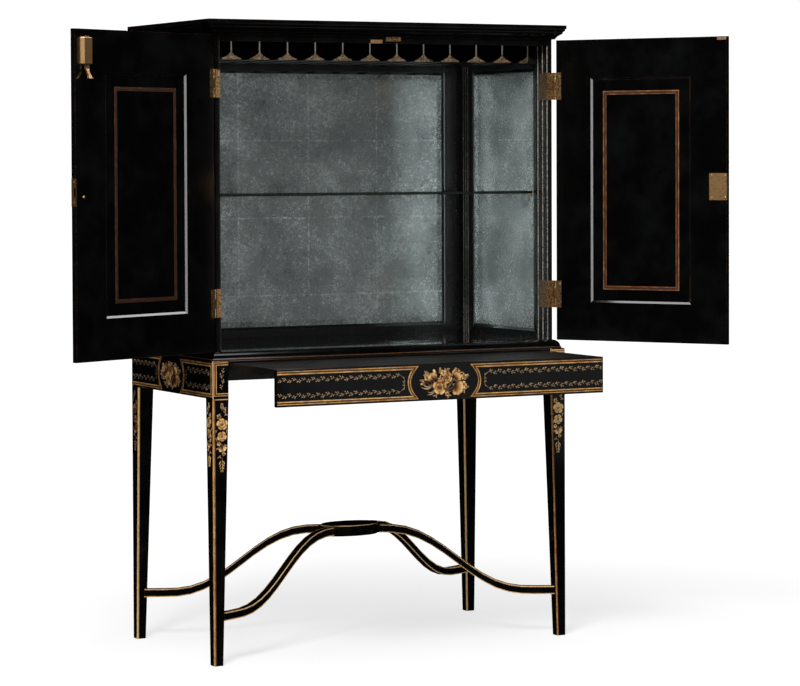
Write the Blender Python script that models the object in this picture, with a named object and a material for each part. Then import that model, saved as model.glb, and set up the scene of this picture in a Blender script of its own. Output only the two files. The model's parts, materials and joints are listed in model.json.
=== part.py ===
"""Drinks cabinet: a mirrored two-door carcass on a leg stand with a pull-out serving slide.

Units are metres. In the working frame X = 0 is the middle, Y = 0 the carcass front, +Y the back,
Z = 0 the floor. At the end the whole model moves so that the origin is the middle of its box.
"""
import math

import bmesh
import bpy
from mathutils import Vector

# Clearances
FIT = 0.0003
RUNNING_GAP = 0.001

# Carcass
CARCASS_WIDTH = 1.050
CARCASS_DEPTH = 0.530
CARCASS_BOTTOM = 0.845
CARCASS_HEIGHT = 0.856
SIDE_THICKNESS = 0.010
BACK_THICKNESS = 0.012
TOP_THICKNESS = 0.012
TOP_RAISE = 0.015
FLOOR_THICKNESS = 0.018
FLOOR_MARGIN = 0.030
FLOOR_LEDGE = 0.025
TOP_RAIL_HEIGHT = 0.019
TOP_RAIL_DEPTH = 0.020
EDGE_BEVEL = 0.0008

# Stand
BASE_OVERHANG_SIDE = 0.025
BASE_OVERHANG_FRONT = 0.029
BASE_TOP = 0.822
APRON_HEIGHT = 0.102
APRON_THICKNESS = 0.022
BACK_APRON_RAISE = 0.005
LEG_TOP = 0.047
LEG_FOOT = 0.027
LEG_BEVEL = 0.0015
FRONT_RAIL_THICKNESS = 0.0055

# Stretchers, with their arch given along each diagonal
STRETCHER_INSET = 0.016
STRETCHER_WIDTH = 0.022
STRETCHER_HEIGHT = 0.022
STRETCHER_END_Z = 0.130
STRETCHER_RISE = 0.180
ARCH_FLAT = 0.087
ARCH_RUN = 0.440
ARCH_STEPS = 12
PLATFORM_LENGTH = 0.174
PLATFORM_DEPTH = 0.104
PLATFORM_COVER = 0.0053
PLATFORM_LIP = 0.0015

# Serving slide
SLIDE_TRAVEL = 0.290
SLIDE_SIDE_GAP = 0.0045
SLIDE_FRONT_THICKNESS = 0.016
SLIDE_FRONT_HEIGHT = 0.099
SLIDE_BOARD_THICKNESS = 0.020
SLIDE_BOARD_LENGTH = 0.460
SLIDE_BOARD_INSET = 0.002
RUNNER_LIP = 0.0125
RUNNER_LIP_THICKNESS = 0.010

# Mouldings: how far each step stands out from the carcass
WAIST_TOP_PROJECTION = 0.005
WAIST_FOOT_PROJECTION = 0.019
WAIST_FILLET = 0.0037
WAIST_SHOULDER = 0.002
CORNICE_HEIGHT = 0.039
CORNICE_PROJECTION = 0.0314
CORNICE_FILLET = 0.0106
CORNICE_BEAD = 0.008
CORNICE_BEAD_STEP = 0.005
CORNICE_BEAD_BULGE = 0.0016
CORNICE_COVE_FOOT = 0.0076
MOULDING_STEPS = 5

# Interior linings
LINING = 0.003
REED_PROUD = 0.003
REED_WIDTH = 0.016
REED_GAP = 0.0098
REED_COUNT = 3
REED_STEPS = 5
SIDE_FRAME_FRONT = 0.0055
SIDE_FRAME_BACK = 0.067
SIDE_FRAME_BOTTOM = 0.020
CORNER_REEDS = 3
CORNER_REED_WIDTH = 0.0136
CORNER_REED_PROUD = 0.0024
BACK_FRAME_THICKNESS = 0.0125
BACK_STILE = 0.058
BACK_BOTTOM_RAIL = 0.0235
MIRROR_DROP = 0.081
MIRROR_THICKNESS = 0.0085
MIRROR_RELIEF = 0.0008
MIRROR_BEVEL = 0.024
SIDE_MIRROR_BEVEL = 0.012

# Glass shelf and its pegs
SHELF_RAISE = 0.417
SHELF_THICKNESS = 0.008
SHELF_FRONT = 0.080
SHELF_SIDE_GAP = 0.0033
PEG_RADIUS = 0.0025
PEG_REACH = 0.012
PEG_DEPTH = 0.006
PEG_PITCH = 0.052
PEG_SIDES = 10
FRONT_PEG_SETBACK = 0.015
BACK_PEG_INSET = 0.020

# Stemware rack
RACK_BAYS = 12
RACK_FRONT = 0.110
RACK_BACK_GAP = 0.045
RACK_WEB = 0.004
RACK_FLANGE = 0.057
RACK_DROP = 0.064
RACK_FLANGE_EDGE = 0.0035
RACK_FLANGE_HEIGHT = 0.019
RACK_CEILING = 0.004

# Doors
DOOR_THICKNESS = 0.016
DOOR_BACK_GAP = 0.001
DOOR_MEETING_GAP = 0.002
DOOR_BOTTOM_GAP = 0.0007
DOOR_TOP_GAP = 0.003
DOOR_EDGE_REACH = 0.0025
DOOR_BORDER = 0.1145
DOOR_BEVEL = 0.001
DOOR_PANEL_SETBACK = 0.0035
DOOR_PANEL_BEVEL = 0.0055
DOOR_TONGUE = 0.005
DOOR_TONGUE_DEPTH = 0.008
DOOR_LEFT_OPEN = 156.3
DOOR_RIGHT_OPEN = 122.5

# Hinges
HINGE_PIN_OUT = 0.008
HINGE_PIN_FORWARD = 0.0075
KNUCKLE_RADIUS = 0.0055
PIN_RADIUS = 0.0025
LEAF_THICKNESS = 0.002
HINGE_HEIGHT = 0.0765
HINGE_FROM_END = 0.092
CARCASS_LEAF = 0.044
DOOR_LEAF = 0.0155
HINGE_WEB = 0.005
ROUND_SIDES = 16

# Lock, strike and catch
LOCK_WIDTH = 0.053
LOCK_HEIGHT = 0.0745
LOCK_DEPTH = 0.0105
LOCK_PROUD = 0.0005
LOCK_RAISE = 0.4371
LOCK_BOLT_DROP = 0.0025
LOCK_BOLT_LENGTH = 0.025
LOCK_BOLT_HEIGHT = 0.0195
LOCK_BOLT_THICKNESS = 0.0046
LOCK_BOLT_BEHIND_FACE = 0.002
LOCK_BOLT_SUNK = 0.0005
LOCK_THROW = 0.010
KEYHOLE_RADIUS = 0.0022
KEYHOLE_ABOVE = 0.0130
KEYHOLE_FROM_EDGE = 0.0275
STRIKE_HEIGHT = 0.071
STRIKE_THICKNESS = 0.0015
STRIKE_SLOT = 0.023
STRIKE_SLOT_WIDTH = 0.007
STRIKE_POCKET = 0.010
CATCH_WIDTH = 0.0274
CATCH_HEIGHT = 0.007
CATCH_FROM_EDGE = 0.0021
CATCH_FROM_TOP = 0.0025
BALL_CATCH_WIDTH = 0.047
BALL_CATCH_HEIGHT = 0.012
BALL_CATCH_DEPTH = 0.006
BALL_RADIUS = 0.003
BALL_PROUD = 0.0005
BALL_STEPS = 6
DIMPLE_RADIUS = 0.0018

# Surface bolt on the left door
HOUSING_WIDTH = 0.0394
HOUSING_HEIGHT = 0.070
HOUSING_DEPTH = 0.0137
HOUSING_CHAMFER = 0.006
HOUSING_TAPER = 0.0024
HOUSING_END = 0.9
HOUSING_UNDER_RAIL = 0.005
BOLT_WIDTH = 0.013
BOLT_THICKNESS = 0.006
BOLT_OFF_DOOR = 0.0075
BOLT_FROM_EDGE = 0.035
BOLT_HEAD_GAP = 0.002
BOLT_TAIL = 0.0245
BOLT_TAIL_SWING = 0.012
BOLT_TAIL_FLARE = 0.016
BOLT_THROW = 0.010
KEEPER_WIDTH = 0.037
KEEPER_HEIGHT = 0.010
KEEPER_DEPTH = 0.015
KEEPER_THICKNESS = 0.0015

# Drop pulls
PULL_RAISE = 0.4223
PULL_FROM_EDGE = 0.0289
ROSETTE_RADIUS = 0.009
ROSETTE_FACE_RADIUS = 0.00675
ROSETTE_THICKNESS = 0.002
POST_RADIUS = 0.0024
POST_LENGTH = 0.011
SHANK_RADIUS = 0.0022
SHANK_BLIND = 0.004
NUT_RADIUS = 0.0042
NUT_HEIGHT = 0.003
NUT_CROWN = 0.0024
NUT_RIM = 0.00075
EYE_RADIUS = 0.004
EYE_WIDTH = 0.005
DROP_PIN = 0.0014
CHEEK = 0.0017
DROP_COLLAR = 0.0045
DROP_BULB = 0.007
DROP_BALL = 0.004
DROP_LENGTH = 0.047
DROP_BULB_PLACE = 0.0282
DROP_WAIST_PLACE = 0.0371

# Places that follow from the sizes above
DIAGONAL = math.sqrt(0.5)
HALF_CARCASS = CARCASS_WIDTH / 2
HALF_BASE = HALF_CARCASS + BASE_OVERHANG_SIDE
BASE_FRONT = -BASE_OVERHANG_FRONT
BACK = CARCASS_DEPTH
CARCASS_TOP = CARCASS_BOTTOM + CARCASS_HEIGHT
PANEL_LOW = CARCASS_BOTTOM + FIT
PANEL_HIGH = CARCASS_TOP - FIT
SIDE_INNER = HALF_CARCASS - SIDE_THICKNESS
BETWEEN_SIDES = SIDE_INNER - FIT
LINING_FACE = BETWEEN_SIDES - LINING
APRON_BOTTOM = BASE_TOP - APRON_HEIGHT
LEG_INNER = HALF_BASE - LEG_TOP
STILE_WIDTH = REED_COUNT * REED_WIDTH + (REED_COUNT - 1) * REED_GAP
BACK_FRAME_FRONT = BACK - BACK_THICKNESS - FIT - BACK_FRAME_THICKNESS
RAIL_BOTTOM = PANEL_HIGH - TOP_RAIL_HEIGHT
DOOR_LOW = CARCASS_BOTTOM + DOOR_BOTTOM_GAP
DOOR_HIGH = CARCASS_TOP - DOOR_TOP_GAP
PIN_X = HALF_CARCASS + HINGE_PIN_OUT
PIN_Y = -HINGE_PIN_FORWARD
DOOR_START = PIN_X - HALF_CARCASS - DOOR_EDGE_REACH
DOOR_END = PIN_X - DOOR_MEETING_GAP / 2
DOOR_INNER = HINGE_PIN_FORWARD - DOOR_BACK_GAP
DOOR_OUTER = DOOR_INNER - DOOR_THICKNESS
LOCK_MIDDLE = DOOR_LOW + LOCK_RAISE
BOLT_MIDDLE = LOCK_MIDDLE - LOCK_BOLT_DROP
PULL_Z = DOOR_LOW + PULL_RAISE
BOLT_ROD = HOUSING_HEIGHT + HOUSING_UNDER_RAIL - BOLT_HEAD_GAP + BOLT_THROW + RUNNING_GAP
HINGE_PLACES = (DOOR_LOW + HINGE_FROM_END, DOOR_HIGH - HINGE_FROM_END - HINGE_HEIGHT)
SLIDE_TOP = BASE_TOP - FRONT_RAIL_THICKNESS - RUNNING_GAP
MIRROR_TOP = CARCASS_TOP - MIRROR_DROP
RACK_BOTTOM = CARCASS_TOP - RACK_DROP
RACK_BACK = BACK_FRAME_FRONT - RACK_BACK_GAP
SHELF_BOTTOM = CARCASS_BOTTOM + SHELF_RAISE
PEG_Z = SHELF_BOTTOM - FIT - PEG_RADIUS


def clear_scene():
    """Remove what the file opens with."""
    for item in list(bpy.data.objects):
        bpy.data.objects.remove(item, do_unlink=True)


def finish_material(name, colour, roughness, metallic=0.0, transmission=0.0):
    """A Principled BSDF with one plain finish."""
    material = bpy.data.materials.new(name)
    material.use_nodes = True
    shader = material.node_tree.nodes["Principled BSDF"]
    shader.inputs["Base Color"].default_value = (*colour, 1.0)
    shader.inputs["Roughness"].default_value = roughness
    shader.inputs["Metallic"].default_value = metallic
    shader.inputs["Transmission Weight"].default_value = transmission
    return material


def add_empty(name, parent=None, place=(0, 0, 0), turn_z=0.0):
    """An empty that carries other pieces."""
    empty = bpy.data.objects.new(name, None)
    empty.location = place
    empty.rotation_euler = (0, 0, math.radians(turn_z))
    empty.parent = parent
    bpy.context.collection.objects.link(empty)
    return empty


def add_object(name, bm, material, parent, smooth=False):
    """Turn a bmesh into an object with its faces pointing out."""
    bmesh.ops.recalc_face_normals(bm, faces=bm.faces)
    mesh = bpy.data.meshes.new(name)
    bm.to_mesh(mesh)
    bm.free()
    if smooth:
        mesh.shade_smooth()
        mesh.set_sharp_from_angle(angle=math.radians(35))
    if material:
        mesh.materials.append(material)
    piece = bpy.data.objects.new(name, mesh)
    piece.parent = parent
    bpy.context.collection.objects.link(piece)
    return piece


def loft(name, loops, material, parent, ring=False, smooth=False):
    """Join loops of equal length with faces, then cap both ends or close them into a ring."""
    bm = bmesh.new()
    rows = [[bm.verts.new(point) for point in loop] for loop in loops]
    pairs = list(zip(rows, rows[1:]))
    if ring:
        pairs.append((rows[-1], rows[0]))
    else:
        bm.faces.new(rows[0])
        bm.faces.new(rows[-1])
    for first, second in pairs:
        for i, corner in enumerate(first):
            j = (i + 1) % len(first)
            bm.faces.new((corner, first[j], second[j], second[i]))
    return add_object(name, bm, material, parent, smooth)


def extrusion(name, outline, path, material, parent, smooth=False):
    """Extrude a flat closed outline of 3-D points along the vector path."""
    bm = bmesh.new()
    face = bm.faces.new([bm.verts.new(point) for point in outline])
    grown = bmesh.ops.extrude_face_region(bm, geom=[face])
    verts = [item for item in grown["geom"] if isinstance(item, bmesh.types.BMVert)]
    bmesh.ops.translate(bm, vec=Vector(path), verts=verts)
    return add_object(name, bm, material, parent, smooth)


def turned(name, profile, centre, axis, material, parent, sides=ROUND_SIDES):
    """Spin a profile of (radius, distance) pairs about an axis through centre."""
    axis = Vector(axis).normalized()
    across = axis.orthogonal().normalized()
    bm = bmesh.new()
    points = [Vector(centre) + axis * along + across * radius for radius, along in profile]
    verts = [bm.verts.new(point) for point in points]
    edges = [bm.edges.new(pair) for pair in zip(verts, verts[1:])]
    bmesh.ops.spin(bm, geom=verts + edges, cent=centre, axis=axis, angle=math.tau, steps=sides)
    bmesh.ops.remove_doubles(bm, verts=bm.verts, dist=0.00001)
    return add_object(name, bm, material, parent, smooth=True)


def block(name, low, high, material, parent, bevel=0.0):
    """A box between two corners, with its edges eased where bevel is given."""
    x0, x1 = sorted((low[0], high[0]))
    y0, y1 = sorted((low[1], high[1]))
    z0, z1 = sorted((low[2], high[2]))
    outline = [(x0, y0, z0), (x1, y0, z0), (x1, y1, z0), (x0, y1, z0)]
    piece = extrusion(name, outline, (0, 0, z1 - z0), material, parent)
    if bevel:
        ease(piece, bevel)
    return piece


def ease(piece, width):
    """Ease the sharp edges of a piece."""
    modifier = piece.modifiers.new("eased_edges", "BEVEL")
    modifier.width = width
    modifier.segments = 1
    modifier.limit_method = "ANGLE"


def combine(piece, tools, operation):
    """Cut tools from a piece, or unite them with it."""
    for tool in tools:
        tool.hide_render = True
        tool.display_type = "WIRE"
        modifier = piece.modifiers.new(tool.name, "BOOLEAN")
        modifier.operation = operation
        modifier.object = tool
    return piece


def rectangle(x0, x1, y0, y1, z):
    """The four corners of a level rectangle."""
    return [(x0, y0, z), (x1, y0, z), (x1, y1, z), (x0, y1, z)]


def arc(start, end, bulge, steps):
    """Points on a round arc from start to end, standing off the chord by bulge to its right."""
    start, end = Vector(start), Vector(end)
    chord = end - start
    across = Vector((chord.y, -chord.x)).normalized()
    radius = (chord.length ** 2 / 4 + bulge ** 2) / (2 * abs(bulge))
    middle = (start + end) / 2
    centre = middle + across * (bulge - math.copysign(radius, bulge))
    first = start - centre
    sweep = first.angle_signed(end - centre)
    return [centre + turn_2d(first, -sweep * i / steps) for i in range(steps + 1)]


def turn_2d(vector, angle):
    """A 2-D vector turned by an angle."""
    c, s = math.cos(angle), math.sin(angle)
    return Vector((vector.x * c - vector.y * s, vector.x * s + vector.y * c))


def leg_levels(outer_x, outer_y, inward_y, grow=0.0):
    """Sections of a leg whose two inner faces taper towards the foot, grown by a clearance."""
    side = math.copysign(1, outer_x)
    levels = []
    for width, z in ((LEG_FOOT, 0.0), (LEG_TOP, APRON_BOTTOM), (LEG_TOP, BASE_TOP)):
        x_in = outer_x - side * (width + grow)
        y_in = outer_y + inward_y * (width + grow)
        levels.append(rectangle(outer_x + side * grow, x_in, outer_y - inward_y * grow, y_in, z))
    return levels


def build_legs(parent, lacquer):
    """Four square legs, straight on the outside and tapered on the inside."""
    for end, outer_y, inward_y in (("front", BASE_FRONT, 1), ("back", BACK, -1)):
        for side, label in ((-1, "left"), (1, "right")):
            levels = leg_levels(side * HALF_BASE, outer_y, inward_y)
            leg = loft(f"leg_{end}_{label}", levels, lacquer, parent)
            ease(leg, LEG_BEVEL)


def build_aprons(parent, lacquer):
    """Side and back aprons between the legs, and the thin rail over the slide."""
    face = HALF_BASE
    front = BASE_FRONT + LEG_TOP
    for side, label in ((-1, "left"), (1, "right")):
        low = (side * face, front + FIT, APRON_BOTTOM)
        high = (side * (face - APRON_THICKNESS), BACK - LEG_TOP - FIT, BASE_TOP)
        block(f"apron_{label}", low, high, lacquer, parent, EDGE_BEVEL)
    back_face = BACK
    low = (-LEG_INNER + FIT, back_face - APRON_THICKNESS, APRON_BOTTOM + BACK_APRON_RAISE)
    block("apron_back", low, (LEG_INNER - FIT, back_face, BASE_TOP), lacquer, parent, EDGE_BEVEL)
    low = (-LEG_INNER + FIT, BASE_FRONT, BASE_TOP - FRONT_RAIL_THICKNESS)
    block("front_rail", low, (LEG_INNER - FIT, front, BASE_TOP), lacquer, parent, EDGE_BEVEL)


def build_runners(parent, wood):
    """A grooved runner on each side apron, which holds the slide's board."""
    outer = HALF_BASE - APRON_THICKNESS - FIT
    groove = LEG_INNER - SLIDE_SIDE_GAP - SLIDE_BOARD_INSET + RUNNING_GAP
    lip = groove - RUNNING_GAP - RUNNER_LIP
    rest = SLIDE_TOP - SLIDE_BOARD_THICKNESS - FIT
    foot = rest - RUNNER_LIP_THICKNESS
    ceiling = SLIDE_TOP + RUNNING_GAP - FIT
    section = [(outer, foot), (lip, foot), (lip, rest), (groove, rest)]
    section += [(groove, ceiling), (lip, ceiling), (lip, BASE_TOP), (outer, BASE_TOP)]
    start = BASE_FRONT + LEG_TOP + FIT
    length = BACK - LEG_TOP - FIT - start
    for side, label in ((-1, "left"), (1, "right")):
        outline = [(side * x, start, z) for x, z in section]
        extrusion(f"slide_runner_{label}", outline, (0, length, 0), wood, parent)


def build_slide(parent, lacquer, wood):
    """The serving slide, drawn out by its travel: a board behind a tall front."""
    carrier = add_empty("slide_carrier", parent, (0, BASE_FRONT - SLIDE_TRAVEL, SLIDE_TOP))
    half = LEG_INNER - SLIDE_SIDE_GAP
    low = (-half, 0, -SLIDE_FRONT_HEIGHT)
    block("slide_front", low, (half, SLIDE_FRONT_THICKNESS, 0), lacquer, carrier, EDGE_BEVEL)
    start = SLIDE_FRONT_THICKNESS + FIT
    low = (-half + SLIDE_BOARD_INSET, start, -SLIDE_BOARD_THICKNESS)
    high = (half - SLIDE_BOARD_INSET, start + SLIDE_BOARD_LENGTH, 0)
    block("slide_board", low, high, wood, carrier, EDGE_BEVEL)


def arch_height(s):
    """Height of a stretcher's middle line at distance s from the crossing."""
    run = min(max((abs(s) - ARCH_FLAT) / ARCH_RUN, 0.0), 1.0)
    fall = run ** 3 * (10 - 15 * run + 6 * run ** 2)
    return STRETCHER_END_Z + STRETCHER_RISE * (1 - fall)


def diagonal(sign):
    """Middle, direction and half length of a diagonal between two leg centres."""
    half_x = HALF_BASE - STRETCHER_INSET
    half_y = (BACK - BASE_FRONT) / 2 - STRETCHER_INSET
    along = Vector((half_x, sign * half_y, 0))
    return Vector((0, (BACK + BASE_FRONT) / 2, 0)), along.normalized(), along.length


def build_stretcher(name, sign, cut_from_below, parent, lacquer):
    """One arched bar from leg to leg, halved over its partner at the crossing."""
    middle, along, half = diagonal(sign)
    across = Vector((-along.y, along.x, 0)) * (STRETCHER_WIDTH / 2)
    up = Vector((0, 0, STRETCHER_HEIGHT / 2))
    arm = [ARCH_FLAT + ARCH_RUN * i / ARCH_STEPS for i in range(ARCH_STEPS + 1)]
    stations = [-half] + [-s for s in reversed(arm)] + arm + [half]
    loops = []
    for s in stations:
        point = middle + along * s + Vector((0, 0, arch_height(s)))
        foot, head = point - up, point + up
        loops.append([foot - across, foot + across, head + across, head - across])
    bar = loft(name, loops, lacquer, parent)
    partner = diagonal(-sign)[1]
    width = Vector((-partner.y, partner.x, 0)) * (STRETCHER_WIDTH / 2 + FIT)
    reach = partner * (2 * STRETCHER_WIDTH)
    level = arch_height(0) + (FIT / 2 if cut_from_below else -FIT / 2)
    depth = Vector((0, 0, -STRETCHER_HEIGHT if cut_from_below else STRETCHER_HEIGHT))
    corner = middle + Vector((0, 0, level))
    outline = [corner - reach - width, corner + reach - width, corner + reach + width, corner - reach + width]
    tools = [extrusion(f"{name}_halving", outline, depth, None, parent)]
    for side in (-1, 1):
        ahead = side * sign < 0
        outer_y, inward_y = (BASE_FRONT, 1) if ahead else (BACK, -1)
        levels = leg_levels(side * HALF_BASE, outer_y, inward_y, FIT)
        tools.append(loft(f"{name}_leg_{side}", levels, None, parent))
    return combine(bar, tools, "DIFFERENCE")


def oval(length, depth, z, steps=28):
    """An upright-standing oval loop round the middle of the stand."""
    middle_y = (BACK + BASE_FRONT) / 2
    points = []
    for i in range(steps):
        angle = math.tau * i / steps
        points.append((math.cos(angle) * length / 2, middle_y + math.sin(angle) * depth / 2, z))
    return points


def build_platform(parent, lacquer):
    """The oval block on the crossing: two halves, channelled over and under the bars."""
    crest = arch_height(0)
    reach = STRETCHER_HEIGHT / 2 + PLATFORM_COVER
    for name, way in (("stretcher_platform", 1), ("stretcher_boss", -1)):
        loops = []
        for inset, height in ((0, FIT / 2), (0, reach - PLATFORM_LIP), (PLATFORM_LIP, reach)):
            length, depth = PLATFORM_LENGTH - 2 * inset, PLATFORM_DEPTH - 2 * inset
            loops.append(oval(length, depth, crest + way * height))
        half = loft(name, loops, lacquer, parent, smooth=True)
        tools = [bar_channel(f"{name}_channel_{sign}", sign, way, parent) for sign in (-1, 1)]
        combine(half, tools, "DIFFERENCE")


def bar_channel(name, sign, way, parent):
    """A cutter for the channel that one bar fills in half of the oval block."""
    middle, along, _ = diagonal(sign)
    across = Vector((-along.y, along.x, 0)) * (STRETCHER_WIDTH / 2 + FIT)
    reach = along * PLATFORM_LENGTH
    split = middle + Vector((0, 0, arch_height(0) - way * FIT))
    outline = [split - reach - across, split + reach - across, split + reach + across, split - reach + across]
    return extrusion(name, outline, (0, 0, way * (STRETCHER_HEIGHT / 2 + 2 * FIT)), None, parent)


def build_waist(parent, lacquer):
    """The moulded ring on the stand that the carcass stands on, rebated for the floor."""
    low = BASE_TOP + FIT
    shoulder = WAIST_FOOT_PROJECTION - WAIST_SHOULDER
    profile = [(WAIST_FOOT_PROJECTION, low), (WAIST_FOOT_PROJECTION, low + WAIST_FILLET)]
    curve_start = (shoulder, low + WAIST_FILLET + WAIST_SHOULDER)
    bulge = (shoulder - WAIST_TOP_PROJECTION) / 4
    profile += arc(curve_start, (WAIST_TOP_PROJECTION, CARCASS_BOTTOM), bulge, MOULDING_STEPS)
    loops = [rectangle(-HALF_CARCASS - o, HALF_CARCASS + o, -o, BACK, z) for o, z in profile]
    seat = CARCASS_BOTTOM - FLOOR_THICKNESS - FIT
    half = HALF_CARCASS - FLOOR_MARGIN + FIT
    hole = (-half, half, FLOOR_MARGIN - FIT, BACK - FLOOR_MARGIN + FIT)
    ledge = (-half + FLOOR_LEDGE, half - FLOOR_LEDGE, hole[2] + FLOOR_LEDGE, hole[3] - FLOOR_LEDGE)
    loops += [rectangle(*hole, CARCASS_BOTTOM), rectangle(*hole, seat)]
    loops += [rectangle(*ledge, seat), rectangle(*ledge, low)]
    loft("waist_moulding", loops, lacquer, parent, ring=True)
    half = HALF_CARCASS - FLOOR_MARGIN
    low_corner = (-half, FLOOR_MARGIN, CARCASS_BOTTOM - FLOOR_THICKNESS)
    block("carcass_floor", low_corner, (half, BACK - FLOOR_MARGIN, CARCASS_BOTTOM), lacquer, parent)


def build_cornice(parent, lacquer):
    """The cornice: fillet, two beads and a cove, hollowed below for the top board."""
    top = CARCASS_TOP + CORNICE_HEIGHT
    out = CORNICE_PROJECTION
    fillet = (out - CORNICE_BEAD_STEP / 2, top - CORNICE_FILLET)
    first = (fillet[0] - CORNICE_BEAD_STEP, fillet[1] - CORNICE_BEAD)
    second = (first[0] - CORNICE_BEAD_STEP, first[1] - CORNICE_BEAD)
    foot = (CORNICE_COVE_FOOT, CARCASS_TOP)
    profile = arc(foot, second, -CORNICE_BEAD_BULGE, MOULDING_STEPS)
    profile += arc(second, first, CORNICE_BEAD_BULGE, MOULDING_STEPS)[1:]
    profile += arc(first, fillet, CORNICE_BEAD_BULGE, MOULDING_STEPS)[1:]
    profile += [(out, fillet[1] + EDGE_BEVEL), (out, top - EDGE_BEVEL), (out - EDGE_BEVEL, top)]
    ceiling = CARCASS_TOP + TOP_RAISE + TOP_THICKNESS + FIT
    hollow = (-SIDE_INNER, SIDE_INNER, TOP_RAIL_DEPTH + FIT, BACK - BACK_THICKNESS - FIT)
    loops = [rectangle(*hollow, ceiling), rectangle(*hollow, CARCASS_TOP)]
    loops += [rectangle(-HALF_CARCASS - o, HALF_CARCASS + o, -o, BACK, z) for o, z in profile]
    loft("cornice", loops, lacquer, parent)
    low = (-SIDE_INNER + FIT, hollow[2] + FIT, CARCASS_TOP + TOP_RAISE)
    block("top_panel", low, (SIDE_INNER - FIT, hollow[3] - FIT, ceiling - FIT), lacquer, parent)


def strap_gain(name, side, place, parent):
    """A cutter that lets a carcass leaf into the front edges."""
    deep = LEAF_THICKNESS + FIT
    low = (side * (LINING_FACE - deep), -FIT, place - FIT)
    return block(name, low, (side * (PIN_X + FIT), deep, place + HINGE_HEIGHT + FIT), None, parent)


def leaf_gain(name, side, place, parent):
    """A cutter that lets a carcass leaf into the reeded stile's inner face."""
    low = (side * (LINING_FACE - LEAF_THICKNESS - REED_PROUD), -FIT, place - FIT)
    high = (side * (LINING_FACE + FIT), CARCASS_LEAF + FIT, place + HINGE_HEIGHT + FIT)
    return block(name, low, high, None, parent)


def build_sides(parent, lacquer):
    """The two outer side boards, cut for hinges and front pegs."""
    for side, label in ((-1, "left"), (1, "right")):
        name = f"side_{label}"
        low = (side * SIDE_INNER, 0, PANEL_LOW)
        board = block(name, low, (side * HALF_CARCASS, BACK, PANEL_HIGH), lacquer, parent)
        tools = []
        for n, place in enumerate(HINGE_PLACES):
            tools.append(strap_gain(f"{name}_strap_{n}", side, place, parent))
        tools.append(peg_hole(f"{name}_peg", side, parent))
        combine(board, tools, "DIFFERENCE")


def peg_hole(name, side, parent):
    """A cutter for a front shelf peg, through the mirror and into the side board."""
    start = LINING_FACE - RUNNING_GAP
    length = SIDE_INNER + PEG_DEPTH + FIT - start
    profile = rod_profile(PEG_RADIUS + FIT, length)
    centre = (side * start, SHELF_FRONT + FRONT_PEG_SETBACK, PEG_Z)
    return turned(name, profile, centre, (side, 0, 0), None, parent, PEG_SIDES)


def rod_profile(radius, length):
    """The turning profile of a plain rod."""
    return [(0, 0), (radius, 0), (radius, length), (0, length)]


def reeds(start, count, width, gap, proud):
    """The face line of a reeded strip as (distance along it, height) pairs."""
    points = []
    for i in range(count):
        low = start + i * (width + gap)
        points += arc((low, 0), (low + width, 0), -proud, REED_STEPS)
    return points


def lining_section(front_reeds, window, back):
    """The face line of a side lining in plan: front reeds, plain bands, back corner reeds."""
    corner = back - CORNER_REEDS * CORNER_REED_WIDTH
    line = front_reeds + [Vector((window[0], 0))]
    line += reeds(corner, CORNER_REEDS, CORNER_REED_WIDTH, 0, CORNER_REED_PROUD)
    section = [line[0]]
    for point in line[1:]:
        if (point - section[-1]).length > FIT:
            section.append(point)
    return section


def build_side_linings(parent, lacquer, mirror):
    """A lining on each side wall: reeded stile for the hinges, framed mirror, reeded back corner."""
    back = BACK_FRAME_FRONT - FIT
    window = (STILE_WIDTH + SIDE_FRAME_FRONT, back - SIDE_FRAME_BACK)
    bottom = CARCASS_BOTTOM + SIDE_FRAME_BOTTOM
    for side, label in ((-1, "left"), (1, "right")):
        name = f"side_lining_{label}"
        stile = reeds(0, REED_COUNT, REED_WIDTH, REED_GAP, REED_PROUD)
        section = lining_section(stile, window, back)
        outline = [(side * (LINING_FACE - height), along, PANEL_LOW) for along, height in section]
        outline += [(side * BETWEEN_SIDES, back, PANEL_LOW), (side * BETWEEN_SIDES, 0, PANEL_LOW)]
        lining = extrusion(name, outline, (0, 0, PANEL_HIGH - PANEL_LOW), lacquer, parent, smooth=True)
        low = (side * (LINING_FACE - REED_PROUD), window[0], bottom)
        tools = [block(f"{name}_window", low, (side * HALF_CARCASS, window[1], MIRROR_TOP), None, parent)]
        low = (side * (LINING_FACE - 2 * REED_PROUD), -FIT, RAIL_BOTTOM - FIT)
        high = (side * HALF_CARCASS, TOP_RAIL_DEPTH + FIT, CARCASS_TOP)
        tools.append(block(f"{name}_rail_notch", low, high, None, parent))
        for n, place in enumerate(HINGE_PLACES):
            tools.append(strap_gain(f"{name}_strap_{n}", side, place, parent))
            tools.append(leaf_gain(f"{name}_leaf_{n}", side, place, parent))
        combine(lining, tools, "DIFFERENCE")
        plate = wall_mirror(f"side_mirror_{label}", side, window, bottom, mirror, parent)
        combine(plate, [peg_hole(f"side_mirror_{label}_peg", side, parent)], "DIFFERENCE")


def wall_mirror(name, side, window, bottom, mirror, parent):
    """A bevelled mirror plate on a side wall, from three loops."""
    loops = []
    face = LINING_FACE + FIT
    levels = ((BETWEEN_SIDES, FIT), (face + MIRROR_RELIEF, FIT), (face, SIDE_MIRROR_BEVEL))
    for x, inset in levels:
        y0, y1 = window[0] + inset, window[1] - inset
        z0, z1 = bottom + inset, MIRROR_TOP - inset
        loops.append([(side * x, y0, z0), (side * x, y1, z0), (side * x, y1, z1), (side * x, y0, z1)])
    return loft(name, loops, mirror, parent)


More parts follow.
